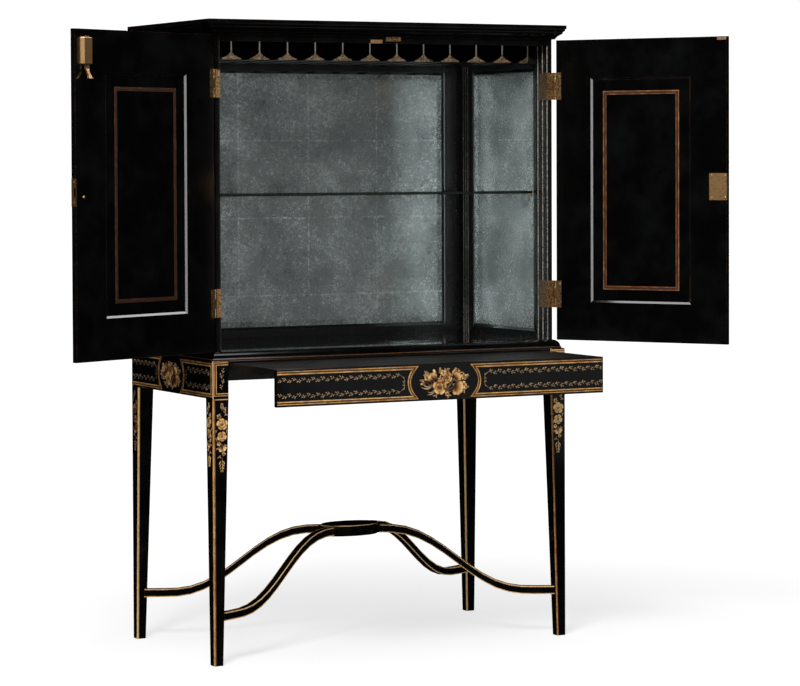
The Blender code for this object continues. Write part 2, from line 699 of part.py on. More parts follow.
def build_back(parent, lacquer, mirror):
    """The back board, and the framed mirror in front of it with its rows of peg holes."""
    low = (-BETWEEN_SIDES, BACK - BACK_THICKNESS, PANEL_LOW)
    block("back_panel", low, (BETWEEN_SIDES, BACK, PANEL_HIGH), lacquer, parent)
    y0, y1 = BACK_FRAME_FRONT, BACK_FRAME_FRONT + BACK_FRAME_THICKNESS
    half = LINING_FACE - FIT + LINING
    bottom = CARCASS_BOTTOM + BACK_BOTTOM_RAIL
    inner = LINING_FACE - BACK_STILE
    outer_loop = (half, PANEL_LOW, PANEL_HIGH)
    inner_loop = (inner, bottom, MIRROR_TOP)
    loops = [upright(*outer_loop, y1), upright(*outer_loop, y0)]
    loops += [upright(*inner_loop, y0), upright(*inner_loop, y1)]
    frame = loft("back_mirror_frame", loops, lacquer, parent, ring=True)
    tools = []
    for side in (-1, 1):
        for step in (-1, 0, 1):
            centre = (side * (LINING_FACE - BACK_PEG_INSET), y0 - FIT, PEG_Z + step * PEG_PITCH)
            profile = rod_profile(PEG_RADIUS + FIT, PEG_DEPTH + 2 * FIT)
            name = f"back_hole_{side}_{step}"
            tools.append(turned(name, profile, centre, (0, 1, 0), None, parent, PEG_SIDES))
    combine(frame, tools, "DIFFERENCE")
    face = y1 - MIRROR_THICKNESS
    levels = ((0.0, y1), (0.0, face + MIRROR_RELIEF), (MIRROR_BEVEL, face))
    loops = [upright(inner - FIT - i, bottom + FIT + i, MIRROR_TOP - FIT - i, y) for i, y in levels]
    loft("back_mirror", loops, mirror, parent)


def upright(half, z0, z1, y):
    """The four corners of an upright rectangle facing front."""
    return [(-half, y, z0), (half, y, z0), (half, y, z1), (-half, y, z1)]


def build_shelf(parent, glass, brass):
    """The glass shelf and the four pegs that carry it."""
    half = LINING_FACE - SHELF_SIDE_GAP
    back = BACK_FRAME_FRONT - RUNNING_GAP
    low = (-half, SHELF_FRONT, SHELF_BOTTOM)
    block("glass_shelf", low, (half, back, SHELF_BOTTOM + SHELF_THICKNESS), glass, parent, EDGE_BEVEL)
    for side, label in ((-1, "left"), (1, "right")):
        start = LINING_FACE - PEG_REACH
        centre = (side * start, SHELF_FRONT + FRONT_PEG_SETBACK, PEG_Z)
        profile = rod_profile(PEG_RADIUS, SIDE_INNER + PEG_DEPTH - start)
        turned(f"shelf_peg_front_{label}", profile, centre, (side, 0, 0), brass, parent, PEG_SIDES)
        centre = (side * (LINING_FACE - BACK_PEG_INSET), BACK_FRAME_FRONT - PEG_REACH, PEG_Z)
        profile = rod_profile(PEG_RADIUS, PEG_REACH + PEG_DEPTH)
        turned(f"shelf_peg_back_{label}", profile, centre, (0, 1, 0), brass, parent, PEG_SIDES)


def build_rack(parent, lacquer):
    """Stemware rack: T rails with bell-shaped flanges under one thin board, as one outline."""
    half = LINING_FACE - FIT
    ceiling = CARCASS_TOP + TOP_RAISE - FIT
    under = ceiling - RACK_CEILING
    edge = RACK_BOTTOM + RACK_FLANGE_EDGE
    neck = RACK_BOTTOM + RACK_FLANGE_HEIGHT
    reach, web = RACK_FLANGE / 2, RACK_WEB / 2
    flank = arc((reach, edge), (web, neck), -(RACK_FLANGE_HEIGHT / 8), MOULDING_STEPS)
    pitch = 2 * half / RACK_BAYS
    outline = [(-half, ceiling), (-half, RACK_BOTTOM)]
    for n in range(RACK_BAYS + 1):
        x = -half + n * pitch
        if n > 0:
            outline += [(x - px, z) for px, z in reversed(flank)]
            outline += [(x - reach, RACK_BOTTOM)]
            outline.insert(len(outline) - len(flank) - 1, (x - web, under))
        if n < RACK_BAYS:
            outline += [(x + reach, RACK_BOTTOM)] + [(x + px, z) for px, z in flank] + [(x + web, under)]
    outline += [(half, RACK_BOTTOM), (half, ceiling)]
    points = [(x, RACK_FRONT, z) for x, z in outline]
    extrusion("stemware_rack", points, (0, RACK_BACK - RACK_FRONT, 0), lacquer, parent)


def build_top_rail(parent, lacquer, brass):
    """The rail over the doors, with the bolt's keeper and the ball catch let into it."""
    low = (-BETWEEN_SIDES, 0, RAIL_BOTTOM)
    rail = block("top_rail", low, (BETWEEN_SIDES, TOP_RAIL_DEPTH, PANEL_HIGH), lacquer, parent)
    bolt_x = -BOLT_FROM_EDGE - DOOR_MEETING_GAP / 2
    bolt_y = PIN_Y + DOOR_INNER + BOLT_OFF_DOOR
    left, right = bolt_x - KEEPER_WIDTH / 2, bolt_x + KEEPER_WIDTH / 2
    section = [(0, RAIL_BOTTOM), (KEEPER_DEPTH, RAIL_BOTTOM)]
    section += [(KEEPER_DEPTH, RAIL_BOTTOM + KEEPER_THICKNESS)]
    section += [(KEEPER_THICKNESS, RAIL_BOTTOM + KEEPER_THICKNESS)]
    section += [(KEEPER_THICKNESS, RAIL_BOTTOM + KEEPER_HEIGHT), (0, RAIL_BOTTOM + KEEPER_HEIGHT)]
    outline = [(left, y, z) for y, z in section]
    keeper = extrusion("bolt_keeper", outline, (KEEPER_WIDTH, 0, 0), brass, parent)
    half_width, half_thick = BOLT_WIDTH / 2 + RUNNING_GAP / 2, BOLT_THICKNESS / 2 + RUNNING_GAP / 2
    throw_top = RAIL_BOTTOM - BOLT_HEAD_GAP + BOLT_THROW + RUNNING_GAP
    low = (bolt_x - half_width, bolt_y - half_thick, RAIL_BOTTOM - FIT)
    high = (bolt_x + half_width, bolt_y + half_thick, throw_top)
    bore = block("bolt_bore", low, high, None, parent)
    combine(keeper, [bore], "DIFFERENCE")
    low = (left - FIT, -FIT, RAIL_BOTTOM - FIT)
    high = (right + FIT, KEEPER_THICKNESS + FIT, RAIL_BOTTOM + KEEPER_HEIGHT + FIT)
    front_recess = block("keeper_front_recess", low, high, None, parent)
    high = (right + FIT, KEEPER_DEPTH + FIT, RAIL_BOTTOM + KEEPER_THICKNESS + FIT)
    under_recess = block("keeper_under_recess", low, high, None, parent)
    catch_x = DOOR_MEETING_GAP / 2 + CATCH_FROM_EDGE + CATCH_WIDTH / 2
    catch_z = PANEL_HIGH - RUNNING_GAP - BALL_CATCH_HEIGHT
    left, right = catch_x - BALL_CATCH_WIDTH / 2, catch_x + BALL_CATCH_WIDTH / 2
    low = (left, 0, catch_z)
    catch = block("ball_catch", low, (right, BALL_CATCH_DEPTH, catch_z + BALL_CATCH_HEIGHT), brass, parent)
    centre = (catch_x, BALL_RADIUS - BALL_PROUD, catch_z + BALL_CATCH_HEIGHT / 2)
    profile = [(0, -BALL_RADIUS)]
    for i in range(1, BALL_STEPS):
        angle = math.pi * i / BALL_STEPS
        profile.append((BALL_RADIUS * math.sin(angle), -BALL_RADIUS * math.cos(angle)))
    profile.append((0, BALL_RADIUS))
    ball = turned("catch_ball", profile, centre, (0, 1, 0), None, parent, PEG_SIDES)
    combine(catch, [ball], "UNION")
    low = (left - FIT, -FIT, catch_z - FIT)
    high = (right + FIT, BALL_CATCH_DEPTH + FIT, catch_z + BALL_CATCH_HEIGHT + FIT)
    catch_recess = block("catch_recess", low, high, None, parent)
    combine(rail, [bore, front_recess, under_recess, catch_recess], "DIFFERENCE")


def door_point(side, along, inward, z):
    """A point of a closed door in its carrier's frame, by its distance from the hinge pin."""
    return (-side * along, inward, z)


def door_block(name, side, along, inward, height, material, parent, bevel=0.0):
    """A box on a door between pairs of (distance from pin, distance inwards, height)."""
    low = door_point(side, along[0], inward[0], height[0])
    high = door_point(side, along[1], inward[1], height[1])
    return block(name, low, high, material, parent, bevel)


def door_loop(side, inset, inward):
    """A rectangle round a door, inset from its edges."""
    a0, a1 = DOOR_START + inset, DOOR_END - inset
    z0, z1 = DOOR_LOW + inset, DOOR_HIGH - inset
    return [door_point(side, a, inward, z) for a, z in ((a0, z0), (a1, z0), (a1, z1), (a0, z1))]


def build_door_leaves(side, label, carrier, lacquer):
    """A mitred border, bevelled down to the flat panel in its groove, and the panel with its tongue."""
    middle = (DOOR_INNER + DOOR_OUTER) / 2
    groove = DOOR_TONGUE / 2 + FIT
    bed = DOOR_BORDER - DOOR_TONGUE_DEPTH
    lip = DOOR_BORDER - DOOR_PANEL_BEVEL
    outer_field, inner_field = DOOR_OUTER + DOOR_PANEL_SETBACK, DOOR_INNER - DOOR_PANEL_SETBACK
    steps = [(DOOR_BEVEL, DOOR_OUTER), (0, DOOR_OUTER + DOOR_BEVEL), (0, DOOR_INNER - DOOR_BEVEL)]
    steps += [(DOOR_BEVEL, DOOR_INNER), (lip, DOOR_INNER), (DOOR_BORDER, inner_field)]
    steps += [(DOOR_BORDER, middle + groove), (bed, middle + groove), (bed, middle - groove)]
    steps += [(DOOR_BORDER, middle - groove), (DOOR_BORDER, outer_field), (lip, DOOR_OUTER)]
    loops = [door_loop(side, inset, inward) for inset, inward in steps]
    frame = loft(f"door_frame_{label}", loops, lacquer, carrier, ring=True)
    field, tongue = DOOR_BORDER + FIT, bed + 2 * FIT
    half = DOOR_TONGUE / 2
    steps = [(field, outer_field), (field, middle - half), (tongue, middle - half)]
    steps += [(tongue, middle + half), (field, middle + half), (field, inner_field)]
    loops = [door_loop(side, inset, inward) for inset, inward in steps]
    loft(f"door_panel_{label}", loops, lacquer, carrier)
    return frame


def build_hinges(side, label, carrier, parent, brass):
    """Butt hinges: wrapped carcass leaves with pin and outer knuckles, door leaves with the middle one."""
    third = HINGE_HEIGHT / 3
    gains = []
    for place, end in zip(HINGE_PLACES, ("lower", "upper")):
        levels = [(0, 0), (KNUCKLE_RADIUS, 0), (KNUCKLE_RADIUS, third - FIT), (PIN_RADIUS, third - FIT)]
        levels += [(PIN_RADIUS, 2 * third + FIT), (KNUCKLE_RADIUS, 2 * third + FIT)]
        levels += [(KNUCKLE_RADIUS, HINGE_HEIGHT), (0, HINGE_HEIGHT)]
        name = f"hinge_{end}_{label}"
        centre = (side * PIN_X, PIN_Y, place)
        spindle = turned(f"{name}_carcass_leaf", levels, centre, (0, 0, 1), brass, parent)
        inner = LINING_FACE - LEAF_THICKNESS
        section = [(PIN_X + HINGE_WEB / 4, 0), (PIN_X + HINGE_WEB / 4, LEAF_THICKNESS)]
        section += [(LINING_FACE, LEAF_THICKNESS), (LINING_FACE, CARCASS_LEAF)]
        section += [(inner, CARCASS_LEAF), (inner, 0)]
        outline = [(side * x, y, place) for x, y in section]
        tools = [extrusion(f"{name}_strap", outline, (0, 0, HINGE_HEIGHT), None, parent)]
        for n, start in enumerate((place, place + 2 * third + FIT)):
            low = (side * (PIN_X - HINGE_WEB), PIN_Y, start)
            high = (side * PIN_X, LEAF_THICKNESS / 2, start + third - FIT)
            tools.append(block(f"{name}_web_{n}", low, high, None, parent))
        combine(spindle, tools, "UNION")
        name = f"hinge_{end}_{label}_door_leaf"
        low_z, high_z = place + third, place + 2 * third
        face = DOOR_INNER - FIT
        leaf = (face - LEAF_THICKNESS, face)
        plate = door_block(name, side, (DOOR_START + FIT, DOOR_START + DOOR_LEAF), leaf,
                           (place, place + HINGE_HEIGHT), brass, carrier)
        reach = (0, DOOR_START + DOOR_LEAF / 2)
        tab = door_block(f"{name}_tab", side, reach, leaf, (low_z, high_z), None, carrier)
        bore = PIN_RADIUS + FIT
        profile = [(bore, low_z), (KNUCKLE_RADIUS, low_z), (KNUCKLE_RADIUS, high_z)]
        profile += [(bore, high_z), (bore, low_z)]
        barrel = turned(f"{name}_barrel", profile, (0, 0, 0), (0, 0, 1), None, carrier)
        combine(plate, [barrel, tab], "UNION")
        recess = (face - LEAF_THICKNESS - FIT, DOOR_INNER + FIT)
        gains.append(door_block(f"{name}_gain", side, (0, DOOR_START + DOOR_LEAF + FIT), recess,
                                (place - FIT, place + HINGE_HEIGHT + FIT), None, carrier))
    return gains


def build_pull(side, label, carrier, brass, through):
    """A drop pull: a rosette with a post and eye, and the pendant that swings in it."""
    along = DOOR_END - PULL_FROM_EDGE
    centre = door_point(side, along, 0, PULL_Z)
    base = DOOR_OUTER - FIT
    shank_end = DOOR_INNER + FIT if through else DOOR_OUTER + SHANK_BLIND
    profile = [(0, shank_end), (SHANK_RADIUS, shank_end)]
    if through:
        profile = [(0, shank_end + NUT_HEIGHT), (NUT_RADIUS / 2, shank_end + NUT_CROWN)]
        profile += [(NUT_RADIUS, shank_end + NUT_RIM), (NUT_RADIUS, shank_end), (SHANK_RADIUS, shank_end)]
    face = base - ROSETTE_THICKNESS
    profile += [(SHANK_RADIUS, base), (ROSETTE_RADIUS, base)]
    profile += [(ROSETTE_RADIUS, base - ROSETTE_THICKNESS / 3), (ROSETTE_FACE_RADIUS, face)]
    profile += [(POST_RADIUS, face), (POST_RADIUS, base - POST_LENGTH)]
    profile += [(0, base - POST_LENGTH)]
    post = turned(f"pull_post_{label}", profile, centre, (0, 1, 0), brass, carrier)
    eye_y = base - POST_LENGTH
    start = door_point(side, along - EYE_WIDTH / 2, eye_y, PULL_Z)
    axis = (-side, 0, 0)
    eye = turned(f"pull_eye_{label}", rod_profile(EYE_RADIUS, EYE_WIDTH), start, axis, None, carrier)
    combine(post, [eye], "UNION")
    start = door_point(side, along - EYE_WIDTH, eye_y, PULL_Z)
    profile = rod_profile(DROP_PIN + FIT, 2 * EYE_WIDTH)
    hole = turned(f"pull_eye_hole_{label}", profile, start, axis, None, carrier)
    combine(post, [hole], "DIFFERENCE")
    swing = add_empty(f"pull_swing_{label}", carrier, door_point(side, along, eye_y, PULL_Z))
    collar = EYE_RADIUS + RUNNING_GAP
    neck = collar + DROP_COLLAR
    shoulder, throat = DROP_BULB * DIAGONAL, DROP_COLLAR / 2
    ball_z = DROP_LENGTH - DROP_BALL
    profile = [(0, -collar), (DROP_COLLAR, -collar), (DROP_COLLAR, -collar - CHEEK), (throat, -neck)]
    profile += [(shoulder, -(neck + DROP_BULB_PLACE) / 2), (DROP_BULB, -DROP_BULB_PLACE)]
    profile += [(shoulder, -DROP_BULB_PLACE - DROP_BULB / 2), (throat, -DROP_WAIST_PLACE)]
    profile += [(DROP_BALL, -ball_z), (DROP_BALL * DIAGONAL, -ball_z - DROP_BALL * DIAGONAL)]
    profile += [(0, -DROP_LENGTH)]
    drop = turned(f"pull_drop_{label}", profile, (0, 0, 0), (0, 0, 1), brass, swing)
    tools = []
    inside = EYE_WIDTH / 2 + FIT
    for n, cheek_side in enumerate((-1, 1)):
        low = (cheek_side * inside, -DROP_COLLAR * DIAGONAL, -collar - CHEEK / 2)
        high = (cheek_side * (inside + CHEEK), DROP_COLLAR * DIAGONAL, EYE_RADIUS * DIAGONAL)
        tools.append(block(f"drop_cheek_{label}_{n}", low, high, None, swing))
    reach = inside + CHEEK / 2
    profile = rod_profile(DROP_PIN, 2 * reach)
    tools.append(turned(f"drop_pin_{label}", profile, (-reach, 0, 0), (1, 0, 0), None, swing))
    combine(drop, tools, "UNION")
    depth = DOOR_THICKNESS + 2 * FIT if through else SHANK_BLIND + 2 * FIT
    start = door_point(side, along, DOOR_OUTER - FIT, PULL_Z)
    profile = rod_profile(SHANK_RADIUS + FIT, depth)
    return [turned(f"pull_hole_{label}", profile, start, (0, 1, 0), None, carrier)]


def build_lock(side, carrier, brass, steel):
    """The lock let into the right door, and the bolt that slides out of its edge."""
    face = DOOR_INNER + LOCK_PROUD
    back = face - LOCK_DEPTH
    low_z, high_z = LOCK_MIDDLE - LOCK_HEIGHT / 2, LOCK_MIDDLE + LOCK_HEIGHT / 2
    start = DOOR_END - LOCK_WIDTH
    case = door_block("lock_case", side, (start, DOOR_END), (back, face), (low_z, high_z), brass, carrier)
    bolt_face = DOOR_INNER - LOCK_BOLT_BEHIND_FACE
    bolt_back = bolt_face - LOCK_BOLT_THICKNESS
    end = DOOR_END - LOCK_BOLT_SUNK
    rod_start = end - LOCK_BOLT_LENGTH
    bolt_low, bolt_high = BOLT_MIDDLE - LOCK_BOLT_HEIGHT / 2, BOLT_MIDDLE + LOCK_BOLT_HEIGHT / 2
    along = (rod_start - FIT, DOOR_END + FIT)
    channel = door_block("lock_channel", side, along, (bolt_back - FIT, bolt_face + FIT),
                         (bolt_low - FIT, bolt_high + FIT), None, carrier)
    keyhole = build_keyhole(side, carrier, (bolt_back + bolt_face) / 2)
    combine(case, [channel, keyhole], "DIFFERENCE")
    slider = add_empty("lock_bolt_slider", carrier, door_point(side, end, 0, BOLT_MIDDLE))
    low = (0, bolt_back, bolt_low - BOLT_MIDDLE)
    high = (side * LOCK_BOLT_LENGTH, bolt_face, bolt_high - BOLT_MIDDLE)
    block("lock_bolt", low, high, steel, slider, EDGE_BEVEL)
    along = (start - FIT, DOOR_END + FIT)
    mortise = door_block("lock_mortise", side, along, (back - FIT, DOOR_INNER + LOCK_PROUD),
                         (low_z - FIT, high_z + FIT), None, carrier)
    return [mortise, keyhole]


def build_keyhole(side, carrier, inner_end):
    """A cutter for the round keyhole, from the outer face into the lock."""
    along = DOOR_END - KEYHOLE_FROM_EDGE
    start = door_point(side, along, DOOR_OUTER - FIT, BOLT_MIDDLE + KEYHOLE_ABOVE)
    profile = rod_profile(KEYHOLE_RADIUS, inner_end - DOOR_OUTER)
    return turned("keyhole", profile, start, (0, 1, 0), None, carrier)


def build_catch_strike(side, carrier, brass):
    """The small plate near the top of the right door that meets the ball catch."""
    along = (DOOR_END - CATCH_FROM_EDGE - CATCH_WIDTH, DOOR_END - CATCH_FROM_EDGE)
    high_z = DOOR_HIGH - CATCH_FROM_TOP
    face = (DOOR_INNER - STRIKE_THICKNESS, DOOR_INNER)
    plate = door_block("catch_strike", side, along, face, (high_z - CATCH_HEIGHT, high_z), brass, carrier)
    centre = door_point(side, sum(along) / 2, DOOR_INNER - BALL_PROUD, high_z - CATCH_HEIGHT / 2)
    profile = rod_profile(DIMPLE_RADIUS, RUNNING_GAP)
    dimple = turned("catch_dimple", profile, centre, (0, 1, 0), None, carrier)
    combine(plate, [dimple], "DIFFERENCE")
    recess = (DOOR_INNER - STRIKE_THICKNESS - FIT, DOOR_INNER + FIT)
    return [door_block("catch_strike_recess", side, (along[0] - FIT, along[1] + FIT), recess,
                       (high_z - CATCH_HEIGHT - FIT, high_z + FIT), None, carrier)]


def build_strike(side, carrier, brass):
    """The strike plate in the left door's edge, with the pocket that takes the lock's bolt."""
    low_z = BOLT_MIDDLE - STRIKE_HEIGHT / 2
    high_z = BOLT_MIDDLE + STRIKE_HEIGHT / 2
    along = (DOOR_END - STRIKE_THICKNESS, DOOR_END)
    inward = (DOOR_OUTER, DOOR_INNER)
    plate = door_block("strike_plate", side, along, inward, (low_z, high_z), brass, carrier)
    middle = DOOR_INNER - LOCK_BOLT_BEHIND_FACE - LOCK_BOLT_THICKNESS / 2
    width = (middle - STRIKE_SLOT_WIDTH / 2, middle + STRIKE_SLOT_WIDTH / 2)
    height = (BOLT_MIDDLE - STRIKE_SLOT / 2, BOLT_MIDDLE + STRIKE_SLOT / 2)
    depth = DOOR_END - STRIKE_THICKNESS - STRIKE_POCKET
    slot = door_block("strike_slot", side, (depth, DOOR_END + FIT), width, height, None, carrier)
    combine(plate, [slot], "DIFFERENCE")
    recess = door_block("strike_recess", side, (DOOR_END - STRIKE_THICKNESS - FIT, DOOR_END + FIT),
                        (DOOR_OUTER - FIT, DOOR_INNER + FIT), (low_z - FIT, high_z + FIT), None, carrier)
    return [slot, recess]


def build_surface_bolt(side, carrier, brass):
    """The surface bolt at the top of the left door: a chamfered housing and its sliding bolt."""
    along = DOOR_END - BOLT_FROM_EDGE
    base = DOOR_INNER + FIT
    crown = base + HOUSING_DEPTH
    half = HOUSING_WIDTH / 2
    shoulder = base + HOUSING_DEPTH / 3
    section = [(-half, base), (half, base), (half, shoulder), (half - HOUSING_CHAMFER, crown)]
    section += [(HOUSING_CHAMFER - half, crown), (-half, shoulder)]
    high_z = RAIL_BOTTOM - HOUSING_UNDER_RAIL
    low_z = high_z - HOUSING_HEIGHT
    loops = []
    levels = [(low_z, HOUSING_END), (low_z + HOUSING_TAPER, 1)]
    levels += [(high_z - HOUSING_TAPER, 1), (high_z, HOUSING_END)]
    for z, share in levels:
        loops.append([door_point(side, along + a * share, base + (b - base) * share, z) for a, b in section])
    housing = loft("bolt_housing", loops, brass, carrier)
    middle = DOOR_INNER + BOLT_OFF_DOOR
    thick = (middle - BOLT_THICKNESS / 2, middle + BOLT_THICKNESS / 2)
    top = RAIL_BOTTOM - BOLT_HEAD_GAP
    channel = door_block("bolt_channel", side, (along - BOLT_WIDTH / 2 - FIT, along + BOLT_WIDTH / 2 + FIT),
                         (thick[0] - FIT, thick[1] + FIT), (low_z - RUNNING_GAP, top), None, carrier)
    combine(housing, [channel], "DIFFERENCE")
    slider = add_empty("bolt_slider", carrier, door_point(side, along, middle, top))
    tail_half = BOLT_WIDTH / 2
    sections = [(0, BOLT_WIDTH / 2 - EDGE_BEVEL, 0), (-EDGE_BEVEL, BOLT_WIDTH / 2, 0)]
    sections += [(-BOLT_ROD, tail_half, 0), (-BOLT_ROD - BOLT_TAIL / 3, tail_half / 2, BOLT_TAIL_SWING / 4)]
    sections += [(-BOLT_ROD - BOLT_TAIL * 3 / 4, tail_half * DIAGONAL, BOLT_TAIL_SWING * 3 / 4)]
    sections += [(-BOLT_ROD - BOLT_TAIL, BOLT_TAIL_FLARE / 2, BOLT_TAIL_SWING)]
    loops = []
    for z, wide, out in sections:
        front, rear = out + BOLT_THICKNESS / 2, out - BOLT_THICKNESS / 2
        loops.append([(-wide, rear, z), (wide, rear, z), (wide, front, z), (-wide, front, z)])
    loft("bolt", loops, brass, slider)


def build_doors(parent, lacquer, brass, steel):
    """Both doors, standing open as in use, each carried by an empty on its hinge pin."""
    for side, label, opening in ((-1, "left", DOOR_LEFT_OPEN), (1, "right", DOOR_RIGHT_OPEN)):
        carrier = add_empty(f"door_{label}_pin", parent, (side * PIN_X, PIN_Y, 0), side * opening)
        frame = build_door_leaves(side, label, carrier, lacquer)
        tools = build_hinges(side, label, carrier, parent, brass)
        tools += build_pull(side, label, carrier, brass, through=side < 0)
        if side < 0:
            tools += build_strike(side, carrier, brass)
            build_surface_bolt(side, carrier, brass)
        else:
            tools += build_lock(side, carrier, brass, steel)
            tools += build_catch_strike(side, carrier, brass)
        combine(frame, tools, "DIFFERENCE")


def place_origin(root):
    """Move the root so that the origin is the middle of the model's box, on the floor."""
    bpy.context.view_layer.update()
    graph = bpy.context.evaluated_depsgraph_get()
    corners = []
    for item in bpy.context.scene.objects:
        if item.type == "MESH" and not item.hide_render:
            shape = item.evaluated_get(graph)
            corners += [item.matrix_world @ vertex.co for vertex in shape.data.vertices]
    for axis in (0, 1):
        values = [corner[axis] for corner in corners]
        root.location[axis] = -(min(values) + max(values)) / 2
    bpy.context.view_layer.update()


def main():
    clear_scene()
    lacquer = finish_material("black_lacquer", (0.012, 0.010, 0.009), 0.22)
    inner_lacquer = finish_material("interior_lacquer", (0.010, 0.009, 0.009), 0.35)
    wood = finish_material("stained_beech", (0.050, 0.028, 0.016), 0.45)
    brass = finish_material("aged_brass", (0.42, 0.28, 0.12), 0.35, metallic=1.0)
    steel = finish_material("bolt_steel", (0.35, 0.34, 0.32), 0.3, metallic=1.0)
    mirror = finish_material("antiqued_mirror", (0.36, 0.39, 0.39), 0.12, metallic=1.0)
    glass = finish_material("shelf_glass", (0.55, 0.70, 0.62), 0.03, transmission=1.0)
    root = add_empty("cabinet_frame")
    build_legs(root, lacquer)
    build_aprons(root, lacquer)
    build_runners(root, wood)
    build_slide(root, lacquer, wood)
    build_stretcher("stretcher_a", 1, True, root, lacquer)
    build_stretcher("stretcher_b", -1, False, root, lacquer)
    build_platform(root, lacquer)
    build_waist(root, lacquer)
    build_cornice(root, lacquer)
    build_sides(root, lacquer)
    build_side_linings(root, inner_lacquer, mirror)
    build_back(root, inner_lacquer, mirror)
    build_shelf(root, glass, brass)
    build_rack(root, inner_lacquer)
    build_top_rail(root, lacquer, brass)
    build_doors(root, lacquer, brass, steel)
    place_origin(root)


main()
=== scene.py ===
"""Drinks cabinet: its finishes, painted gilt ornament and small fittings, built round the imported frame.

Lengths are metres in the frame's space, +Z up, the cabinet facing -Y. The painted work is real relief,
a fraction of a millimetre proud, as gold size and bronze powder stand on lacquer.
"""

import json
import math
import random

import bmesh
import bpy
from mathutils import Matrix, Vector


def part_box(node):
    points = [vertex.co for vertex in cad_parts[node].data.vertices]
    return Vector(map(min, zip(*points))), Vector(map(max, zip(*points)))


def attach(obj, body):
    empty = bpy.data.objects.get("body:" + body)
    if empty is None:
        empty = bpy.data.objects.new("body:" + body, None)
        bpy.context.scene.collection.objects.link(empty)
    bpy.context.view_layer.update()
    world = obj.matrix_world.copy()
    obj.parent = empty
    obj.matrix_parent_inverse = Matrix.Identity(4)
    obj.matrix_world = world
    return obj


bl_info = {
    "name": "Drinks cabinet finish",
    "version": (1, 0, 0),
    "blender": (4, 5, 0),
    "location": "3D View > Sidebar > Cabinet",
    "description": "Lacquers, gilds and fits out a drinks cabinet round its packed frame",
    "category": "Object",
}

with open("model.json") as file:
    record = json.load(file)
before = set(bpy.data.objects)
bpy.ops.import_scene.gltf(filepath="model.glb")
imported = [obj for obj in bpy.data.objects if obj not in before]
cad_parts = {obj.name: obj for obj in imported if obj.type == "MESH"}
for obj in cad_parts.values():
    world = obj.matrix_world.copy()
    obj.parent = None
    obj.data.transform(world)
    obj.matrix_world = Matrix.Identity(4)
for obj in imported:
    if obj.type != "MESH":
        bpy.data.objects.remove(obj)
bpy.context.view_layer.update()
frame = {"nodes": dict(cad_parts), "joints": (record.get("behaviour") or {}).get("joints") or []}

# Image that the camera is set for
IMAGE_WIDTH = 800
SENSOR_WIDTH = 36.0
# Where the studio floor starts to fade into the backdrop, and the share of its reach where it has faded
FADE_START = 0.9
FADE_END = 0.8

# How far a painted stroke's foot lies inside the lacquer, so that no gap shows
SUNK = 0.00005
# Section of a painted stroke: share of the half width, share of the height
STROKE_SECTION = ((-1.0, 0.0), (-0.82, 0.75), (0.0, 1.0), (0.82, 0.75), (1.0, 0.0))
# Outline of a petal: shares of its length and of its half width, from its root round to its root
PETAL_OUTLINE = ((0.0, 0.0), (0.10, 0.40), (0.32, 0.80), (0.60, 1.0), (0.85, 0.82), (0.98, 0.38), (0.95, 0.0),
                 (0.98, -0.38), (0.85, -0.82), (0.60, -1.0), (0.32, -0.80), (0.10, -0.40))
# Rings of a petal and of a dome, foot first: share of the outline, share of the height, lift of the shade
PETAL_RINGS = ((1.0, 0.0, -0.70), (1.0, 0.35, -0.62), (0.80, 0.9, -0.02), (0.50, 1.0, 0.08))
DOME_RINGS = ((1.0, 0.0, -0.15), (0.72, 0.75, 0.0))
# Share of a petal's length where its rings close in
PETAL_HEART = 0.60
# Share of a leaf's width that is left at its root and its tip
LEAF_TIP = 0.06
# Least share of a line's width that a sharp corner leaves it
SHARPEST_MITRE = 0.3
# How much higher each stroke of paint lies than the one before it
LAYER = 0.000007
# Length between the brush's pauses along a ruled line
BRUSH_STEP = 0.014
# Sides of the cabinet, with the sign of X outwards
SIDES = {"left": -1, "right": 1}
# A face seen from the front: its right, its up and the way out of it
FRONT = ((1, 0, 0), (0, 0, 1), (0, -1, 0))
X_WAY, Y_WAY = Vector((1, 0, 0)), Vector((0, 1, 0))
MILLIMETRE = 0.001
WHITE = (1.0, 1.0, 1.0, 1.0)
# The gold of borders and flowers, and the thinner gold of vines and leaves
RICH_GOLD = "glazed_shell_gold"
THIN_GOLD = "thin_shell_gold"

# Sockets of a Mix node for its factor and its two colours, whose names other sockets share
MIX_SOCKETS = (0, 6, 7)
# Where the golds of shell gold lie along a stroke's shade
GOLD_STOPS = (0.05, 0.32, 0.62, 0.95)
# Radius over which polish has worn an edge of the lacquer
RUBBED_EDGE = 0.0012
# Side of a leaf of silver, and where the overlaps cross on the back mirror
LEAF_SIZE = 0.1125
LEAF_SEAMS = {"X": -0.122, "Z": 1.195}
# Width of the mirrors' ground bevel, the softness of its inner edge, and how steeply it leans
MIRROR_BEVEL = 0.0080
BEVEL_EDGE = 0.0008
BEVEL_LEAN = 0.12
# How far the flanges of the stemware rack reach up, and over what height they blend into its webs
RACK_FLANGE = 0.020
RACK_BLEND = 0.006


def linear(hex_colour):
    """An sRGB hex colour as linear red, green and blue."""
    values = [int(hex_colour[i:i + 2], 16) / 255 for i in (0, 2, 4)]
    return tuple(v / 12.92 if v <= 0.04045 else ((v + 0.055) / 1.055) ** 2.4 for v in values)


def colour_property(name, description, hex_colour):
    """A colour that a user can change."""
    return bpy.props.FloatVectorProperty(
        name=name, description=description, default=linear(hex_colour), subtype="COLOR", size=3, min=0.0,
        max=1.0)


def number_property(name, description, default, **kind):
    """A number that a user can change."""
    return bpy.props.FloatProperty(name=name, description=description, default=default, **kind)


def length_property(name, description, default):
    """A length in metres that a user can change."""
    return number_property(name, description, default, min=0.0, unit="LENGTH", precision=5)


def power_property(name, description, default):
    """A lamp's power that a user can change."""
    return number_property(name, description, default, min=0.0, unit="POWER")


